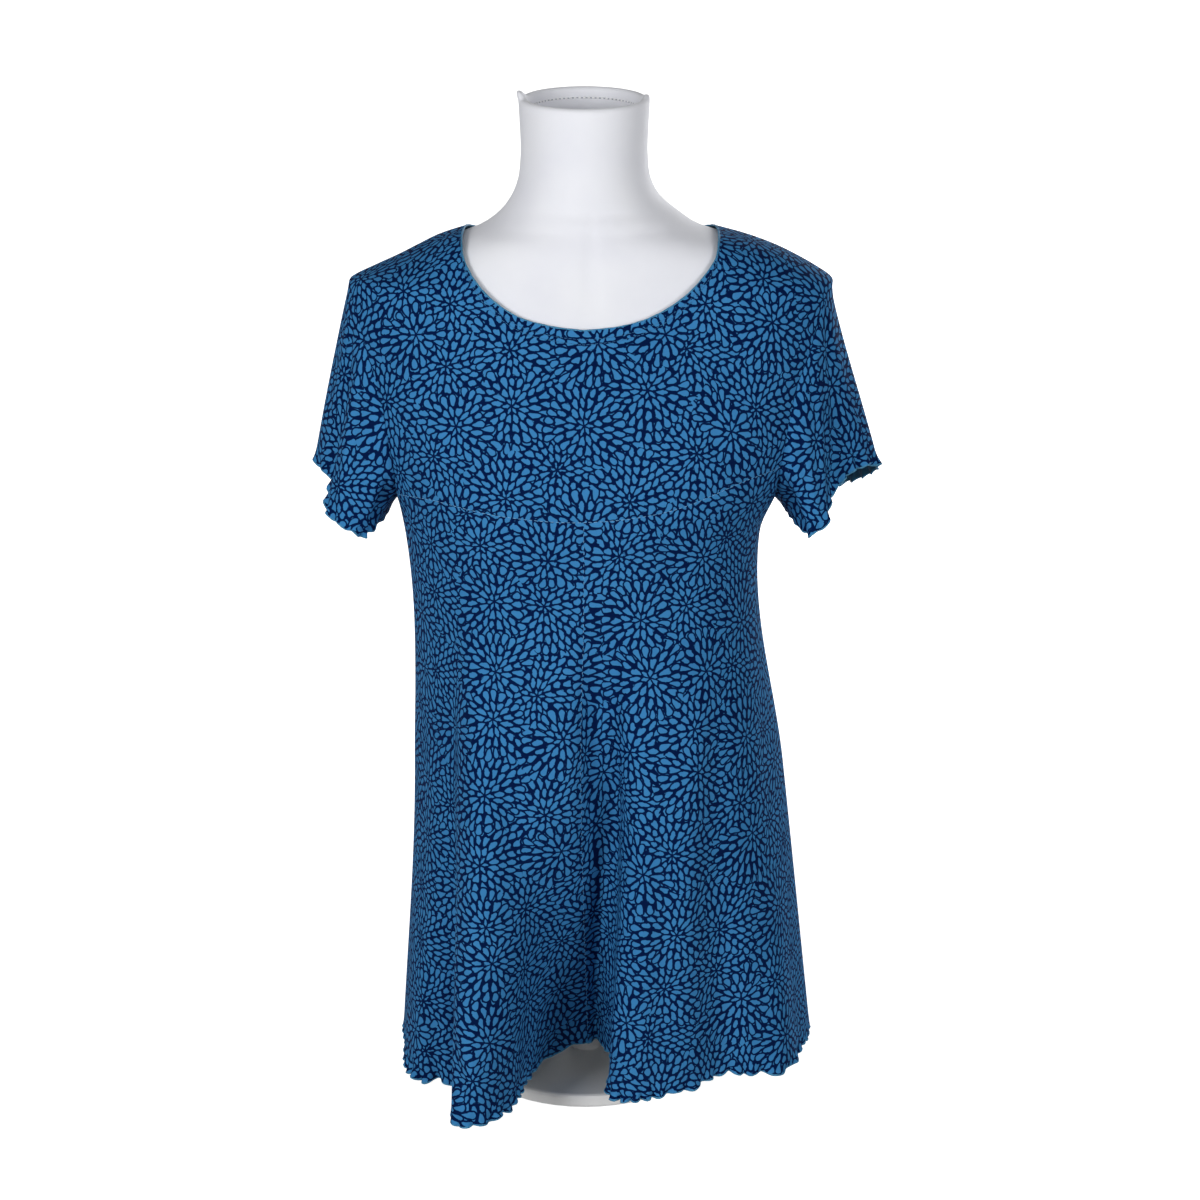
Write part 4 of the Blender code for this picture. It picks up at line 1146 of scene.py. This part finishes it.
SLEEVE_LEFT = table(
    "around go_x go_y go_z cuff_x cuff_y cuff_z",
    (0.00, -12, 0, -30, -226, 2, 563),
    (0.07, -14, -12, -60, -219, -18, 559),
    (0.13, -24, -20, -90, -208, -27, 549),
    (0.18, -28, -26, -90, -213, -48, 534),
    (0.24, -30, -26, -90, -203, -64, 525),
    (0.31, -28, -24, -80, -189, -68, 517),
    (0.37, -26, -16, -60, -179, -58, 510),
    (0.43, -22, 0, -40, -171, -28, 515),
    (0.50, -20, 6, -20, -166, 4, 519),
    (0.58, -24, 14, -40, -174, 36, 519),
    (0.68, -28, 24, -80, -190, 60, 524),
    (0.80, -28, 22, -90, -212, 56, 537),
    (0.91, -14, 12, -60, -225, 30, 552),
)
SLEEVE_RIGHT = table(
    "around go_x go_y go_z cuff_x cuff_y cuff_z",
    (0.00, -6, 0, -60, 247, 4, 557),
    (0.08, 4, -10, -80, 234, -20, 563),
    (0.14, 24, -18, -90, 217, -32, 557),
    (0.19, 28, -26, -90, 203, -46, 540),
    (0.24, 30, -26, -90, 198, -62, 525),
    (0.31, 28, -24, -80, 191, -68, 518),
    (0.37, 26, -16, -60, 182, -58, 511),
    (0.43, 22, 0, -40, 174, -28, 517),
    (0.50, 20, 6, -20, 169, 6, 522),
    (0.58, 24, 14, -40, 178, 38, 520),
    (0.68, 28, 24, -80, 198, 60, 524),
    (0.80, 28, 22, -90, 222, 54, 532),
    (0.91, 6, 12, -70, 240, 30, 544),
)
SLEEVE_HANG = (1.0, 0.8, 1.0)


def sleeve(around, along, side):
    """A point of a sleeve: cubic lines from the armhole seam to the cuff, which set off
    as the table says and hang straight down at the end."""
    fold = SLEEVE_RIGHT if side > 0 else SLEEVE_LEFT
    columns = [
        np.stack([fold[f"{kind}_{axis}"] for axis in "xyz"], axis=1) * MILLIMETRE
        for kind in ("go", "cuff")
    ]
    go, cuff = (curve(fold["around"], column, around, turn=1) for column in columns)
    start = shirt(*on_armhole(np.mod(around, 1), side))
    hang = (cuff - start) * SLEEVE_HANG
    return hermite(start, go, cuff, hang, np.asarray(along)[..., None])


def sleeve_facing(around, along, side):
    """The outward direction of a sleeve. Its lines run from the seam to the cuff."""
    near, far = np.clip(along - 0.02, 0, 1), np.clip(along + 0.02, 0, 1)
    down = sleeve(around, far, side) - sleeve(around, near, side)
    across = sleeve(np.mod(around + 0.004, 1), along, side)
    across = across - sleeve(np.mod(around - 0.004, 1), along, side)
    return unit(np.cross(across, down) * side)


def seam_facing(around, side):
    """Cut edges at the armhole lean halfway between the body and the sleeve."""
    around = np.mod(around, 1)
    facing = shirt_facing(*on_armhole(around, side))
    return unit(facing + sleeve_facing(around, np.zeros_like(around), side))


BEAD_SIDES = 8


def rolled_edge(name, path, outward, radius, material):
    """The bead of thread that overlocks a cut edge: a small ring of points carried around
    the closed edge, thicker and thinner by turns."""
    turn = np.linspace(0, 2 * np.pi, BEAD_SIDES, endpoint=False)
    run = unit(np.roll(path, -1, axis=0) - np.roll(path, 1, axis=0))
    up = unit(outward - (outward * run).sum(axis=1, keepdims=True) * run)
    aside = np.cross(run, up)
    place = travel(path)
    girth = radius * (1 + 0.14 * np.sin(place / 0.0021) + 0.10 * np.sin(place / 0.0133))
    ring = np.cos(turn)[:, None] * aside[:, None] + np.sin(turn)[:, None] * up[:, None]
    points = path[:, None] + ring * girth[:, None, None]
    index = np.arange(len(path) * BEAD_SIDES).reshape(-1, BEAD_SIDES)
    faces = quads(np.concatenate([index, index[:1]]), ring=True)
    bead = put(name, smooth_mesh(name, points, faces.tolist(), [material]))
    faces_out(bead.data)
    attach(bead, "root")
    return bead


def below_edge(rows, outward, distance):
    """A line on a grid of cloth at a distance down from its top row, with the outward
    directions there."""
    steps = np.linalg.norm(np.diff(rows, axis=0), axis=-1)
    place = np.concatenate([np.zeros((1, rows.shape[1])), np.cumsum(steps, axis=0)])
    k = (place < distance).sum(axis=0) - 1
    column = np.arange(rows.shape[1])
    share = ((distance - place[k, column]) / steps[k, column])[:, None]
    line = rows[k, column] * (1 - share) + rows[k + 1, column] * share
    return line + outward[k, column] * (CLOTH / 2 + NECK_THREAD_RISE), outward[k, column]


edge_thread = thread("edge_thread", (0.022, 0.150, 0.300, 1), (0.070, 0.290, 0.480, 1))
seam_thread = thread("seam_thread", (0.090, 0.270, 0.520, 1), (0.200, 0.420, 0.660, 1))
neck_thread = thread("neck_thread", (0.012, 0.085, 0.220, 1), (0.045, 0.200, 0.400, 1))


def sew(piece, node, cut, area):
    """A sewn piece of the shirt joins the root body, and its solid is hidden. Its cut size
    is reckoned but not kept.
    """
    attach(piece, "root")
    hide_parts(node)
    size = cut.max(axis=(0, 1)) - cut.min(axis=(0, 1))
    float(min(area, 0.999 * size[0] * size[1]))


def neck_run(turn):
    """The columns of a panel's top row that lie on the neckline, by how far each has
    turned from the panel's middle, with the shoulder point at both ends."""
    inner = np.flatnonzero(np.abs(turn) < 89.99)
    return slice(inner[0] - 1, inner[-1] + 2)


YOKE_ROWS, YOKE_COLUMNS = 74, 190
NECK_ROWS = (0.0075, 0.0115)
NECK_THREAD_RISE = 0.00015
SEAM_THREAD_RISE = 0.0001
edges = [np.linspace(0, end, YOKE_ROWS) for end in (YOKE_END_LEFT, YOKE_END_RIGHT)]
ends = seam_knots()[0]
bottom = np.linspace(ends[0], ends[-1], YOKE_COLUMNS)
angle, level = upper_part(bottom, yoke_seam(bottom), edges, back=False)
middle = body_cloth(angle, level)
cut, area = lay_flat(middle)
sewn = [
    (np.s_[-1], shirt_facing(angle[-1], level[-1])),
    (np.s_[:, 0], seam_facing(edges[0], -1)),
    (np.s_[:, -1], seam_facing(edges[1], 1)),
    (np.s_[0], shirt_facing(angle[0], level[0])),
]
yoke = cloth_shell("yoke_cloth", middle, cut, (0.013, 0.004), sewn, [jersey, inside])
outward = shirt_facing(angle, level)
neck = neck_run(angle[0])
neck_front = [middle[0, neck], outward[0, neck]]
fronts = [below_edge(middle[:, neck], outward[:, neck], distance) for distance in NECK_ROWS]
seam_path = middle[-1] + outward[-1] * (CLOTH / 2 + SEAM_THREAD_RISE)
yoke_row = stitches("yoke_seam_stitches", seam_path, outward[-1], length=0.0027,
                    pitch=0.0043, radius=0.00032, material=seam_thread)
sew(yoke, "front_yoke", cut, area)

# The lower fronts: two panels that meet at the centre seam and fall from the yoke and the
# armholes to the hem. Their rows lie closer together in the ruffled strip at the hem.
FALL_ROWS = 78
EDGE_HEIGHT = 0.0145
FALL_END = HEM + EDGE_HEIGHT
fall = np.concatenate([
    np.linspace(UNDERARM, FALL_END, FALL_ROWS)[:-1],
    HEM + EDGE_HEIGHT * np.linspace(1, 0, RUFFLE_ROWS),
])


def even_steps(start, end, step):
    """Directions from start to end, about one for each step along the hem."""
    places = hem_place(np.array([start, end]))
    count = int((places[1] - places[0]) / step)
    fine = np.linspace(start, end, 2000)
    return np.interp(np.linspace(*places, count + 1), hem_place(fine), fine)


hem_rings = {}
for side, name, shift in ((-1, "left", (-0.21, 0.031)), (1, "right", (0.187, -0.018))):
    end = YOKE_END_RIGHT if side > 0 else YOKE_END_LEFT
    columns = even_steps(*sorted((0, 90 * side)), HEM_STEP)
    fine = np.linspace(end, 0.5, 200)
    around = np.interp(np.abs(columns), on_armhole(fine, 1)[0], fine, left=np.nan)
    on_sleeve = ~np.isnan(around)
    top = np.where(on_sleeve, on_armhole(np.nan_to_num(around), 1)[1], yoke_seam(columns))
    down = (UNDERARM - fall[:, None]) / (UNDERARM - HEM - EDGE_HEIGHT)
    stretched = (1 - down) * top + down * FALL_END
    level = np.where(fall[:, None] > FALL_END, stretched, fall[:, None])
    angle = columns + 0 * level
    middle = body_cloth(angle, level)
    cut, area = lay_flat(middle)
    outward = shirt_facing(angle[0], level[0])
    outward[on_sleeve] = seam_facing(around[on_sleeve], side)
    sewn = [(np.s_[0], outward)]
    panel = cloth_shell(f"front_cloth_{name}", middle, cut, shift, sewn, [jersey, inside])
    hem_rings[name] = middle[-1]
    sew(panel, f"front_panel_{name}", cut, area)

# The back: one plain panel from the back neckline to the hem. The sewing that runs around
# the whole shirt goes with it: the neck's two rows of stitches, the beads of the neck and
# the hem, and the stitches of the centre seam.
BACK_ROWS = 46
columns = even_steps(90, 270, HEM_STEP)
edges = [np.linspace(1, 0.5, BACK_ROWS)] * 2
bottom_height = np.full(len(columns), UNDERARM)
angle, level = upper_part(180 - columns[::-1], bottom_height, edges, back=True)
angle, level = angle[:, ::-1], level[:, ::-1]
lower = fall[1:, None] + 0 * columns
angle = np.concatenate([angle, columns + 0 * lower])
level = np.concatenate([level, lower])
middle = body_cloth(angle, level)
cut, area = lay_flat(middle)
sewn = [
    (np.s_[0], shirt_facing(angle[0], level[0])),
    (np.s_[:BACK_ROWS, 0], seam_facing(edges[0], 1)),
    (np.s_[:BACK_ROWS, -1], seam_facing(edges[1], -1)),
]
back = cloth_shell("back_cloth", middle, cut, (0.09, 0.14), sewn, [jersey, inside])
outward = shirt_facing(angle, level)
neck = neck_run(angle[0] - 180)
for k, distance in enumerate(NECK_ROWS):
    line, up = below_edge(middle[:, neck], outward[:, neck], distance)
    line, up = np.concatenate([fronts[k][0], line]), np.concatenate([fronts[k][1], up])
    stitches(f"neck_stitches_{k + 1}", line, up, length=0.0026, pitch=0.0034,
                          radius=0.00026, material=neck_thread)
neck_line = np.concatenate([neck_front[0][:-1], middle[0, neck][:-1]])
neck_up = np.concatenate([neck_front[1][:-1], outward[0, neck][:-1]])
rolled_edge("neck_edge", neck_line, neck_up, radius=0.00078,
                         material=edge_thread)
down = np.linspace(float(yoke_seam(0.0)) - 0.003, FALL_END, 260)
line, up = body_cloth(np.zeros_like(down), down), shirt_facing(np.zeros_like(down), down)
line = line + up * (CLOTH / 2 + SEAM_THREAD_RISE)
stitches("centre_seam_stitches", line, up, length=0.0021, pitch=0.0050,
                      radius=0.00026, material=seam_thread)
hem_rings["back"] = middle[-1]
hem_line = np.concatenate([hem_rings[name][:-1] for name in ("left", "right", "back")])
rolled_edge("hem_edge", hem_line, UPWARD, radius=0.00095,
                         material=edge_thread)
sew(back, "back_panel", cut, area)

# The sleeves: short, set into the armholes, with creases that fall from the shoulder and
# a ruffled cuff. Each is one piece of the same jersey, closed below the arm. At the
# armhole it takes over the creases of the body. Its own creases run around as the armhole
# does and along from the seam (0) to the cuff (1).
SLEEVE_ROWS = 52
SLEEVE_COLUMNS = 300
CUFF_LIFT = 0.9
ARMHOLE_FADE = 0.012
SLEEVE_CREASES = table(
    "from_around from_along to_around to_along depth width",
    (0.02, 0.0, 0.06, 0.95, -1.6, 0.022),
    (0.09, 0.02, 0.19, 1.1, -3.2, 0.020),
    (0.17, 0.05, 0.26, 1.1, 2.4, 0.018),
    (0.30, 0.0, 0.33, 0.9, -1.4, 0.022),
    (0.42, 0.12, 0.375, 1.2, -6.0, 0.020),
    (0.60, 0.0, 0.64, 0.9, -2.0, 0.028),
    (0.72, 0.1, 0.75, 1.0, 1.8, 0.026),
    (0.86, 0.05, 0.84, 0.95, -1.9, 0.026),
    (0.95, 0.1, 0.97, 1.0, 1.4, 0.024),
)
for side, name, shift in ((-1, "left", (-0.33, 0.09)), (1, "right", (0.31, 0.21))):
    around = np.linspace(0.5, 1.5, SLEEVE_COLUMNS + 1)
    run = sleeve(around, np.linspace(0, 1, 15)[:, None], side)
    length = np.linalg.norm(np.diff(run, axis=0), axis=-1).sum(axis=0)
    distance = np.concatenate([
        np.linspace(0, 1, SLEEVE_ROWS)[:-1, None] * (length - EDGE_HEIGHT),
        length - EDGE_HEIGHT * np.linspace(1, 0, RUFFLE_ROWS)[:, None],
    ])
    along = distance / length
    turn = around + 0 * along
    points, outward = sleeve(turn, along, side), sleeve_facing(np.mod(turn, 1), along, side)
    push = np.zeros_like(along)
    for a0, l0, a1, l1, depth, width in zip(*SLEEVE_CREASES.values()):
        share = (along - l0) / (l1 - l0)
        aside = np.mod(turn - (a0 + (a1 - a0) * share) + 0.5, 1) - 0.5
        fade = np.sin(np.pi * np.clip(share, 0, 1))
        push += depth * MILLIMETRE * hill(aside, width) * fade
    place = travel(sleeve(around, np.ones_like(around), side))
    loop = 2 * np.pi * place / place[-1]
    phase = round(place[-1] / MILLIMETRE / RUFFLE_WAVE) * loop
    phase = phase + 1.7 * np.sin(3 * loop + side) + 0.8 * np.sin(5 * loop)
    height = RUFFLE_HEIGHT + 1.1 * np.sin(4 * loop + side) + 0.7 * np.sin(9 * loop)
    height = height * (1 - 0.65 * hill(np.mod(around, 1) - 0.5, 0.13))
    grow = near_cut(length - distance)
    swing = height * (np.sin(phase) + 0.2 * np.sin(2 * phase)) * MILLIMETRE * grow
    points = points + outward * (push + swing)[..., None]
    points[..., 2] += CUFF_LIFT * MILLIMETRE * np.sin(phase + 1) * grow
    seam = on_armhole(np.mod(around, 1), side)
    fit = np.exp(-distance / ARMHOLE_FADE)[..., None]
    points = points + (body_cloth(*seam) - shirt(*seam)) * fit
    points[:, -1] = points[:, 0]
    cut, area = lay_flat(points)
    sewn = [(np.s_[0], seam_facing(around, side))]
    arm = cloth_shell(f"sleeve_cloth_{name}", points, cut, shift, sewn, [jersey, inside],
                      ring=True)
    bead = rolled_edge(f"cuff_edge_{name}", points[-1, :-1], UPWARD, radius=0.0009,
                       material=edge_thread)
    sew(arm, f"sleeve_{name}", cut, area)
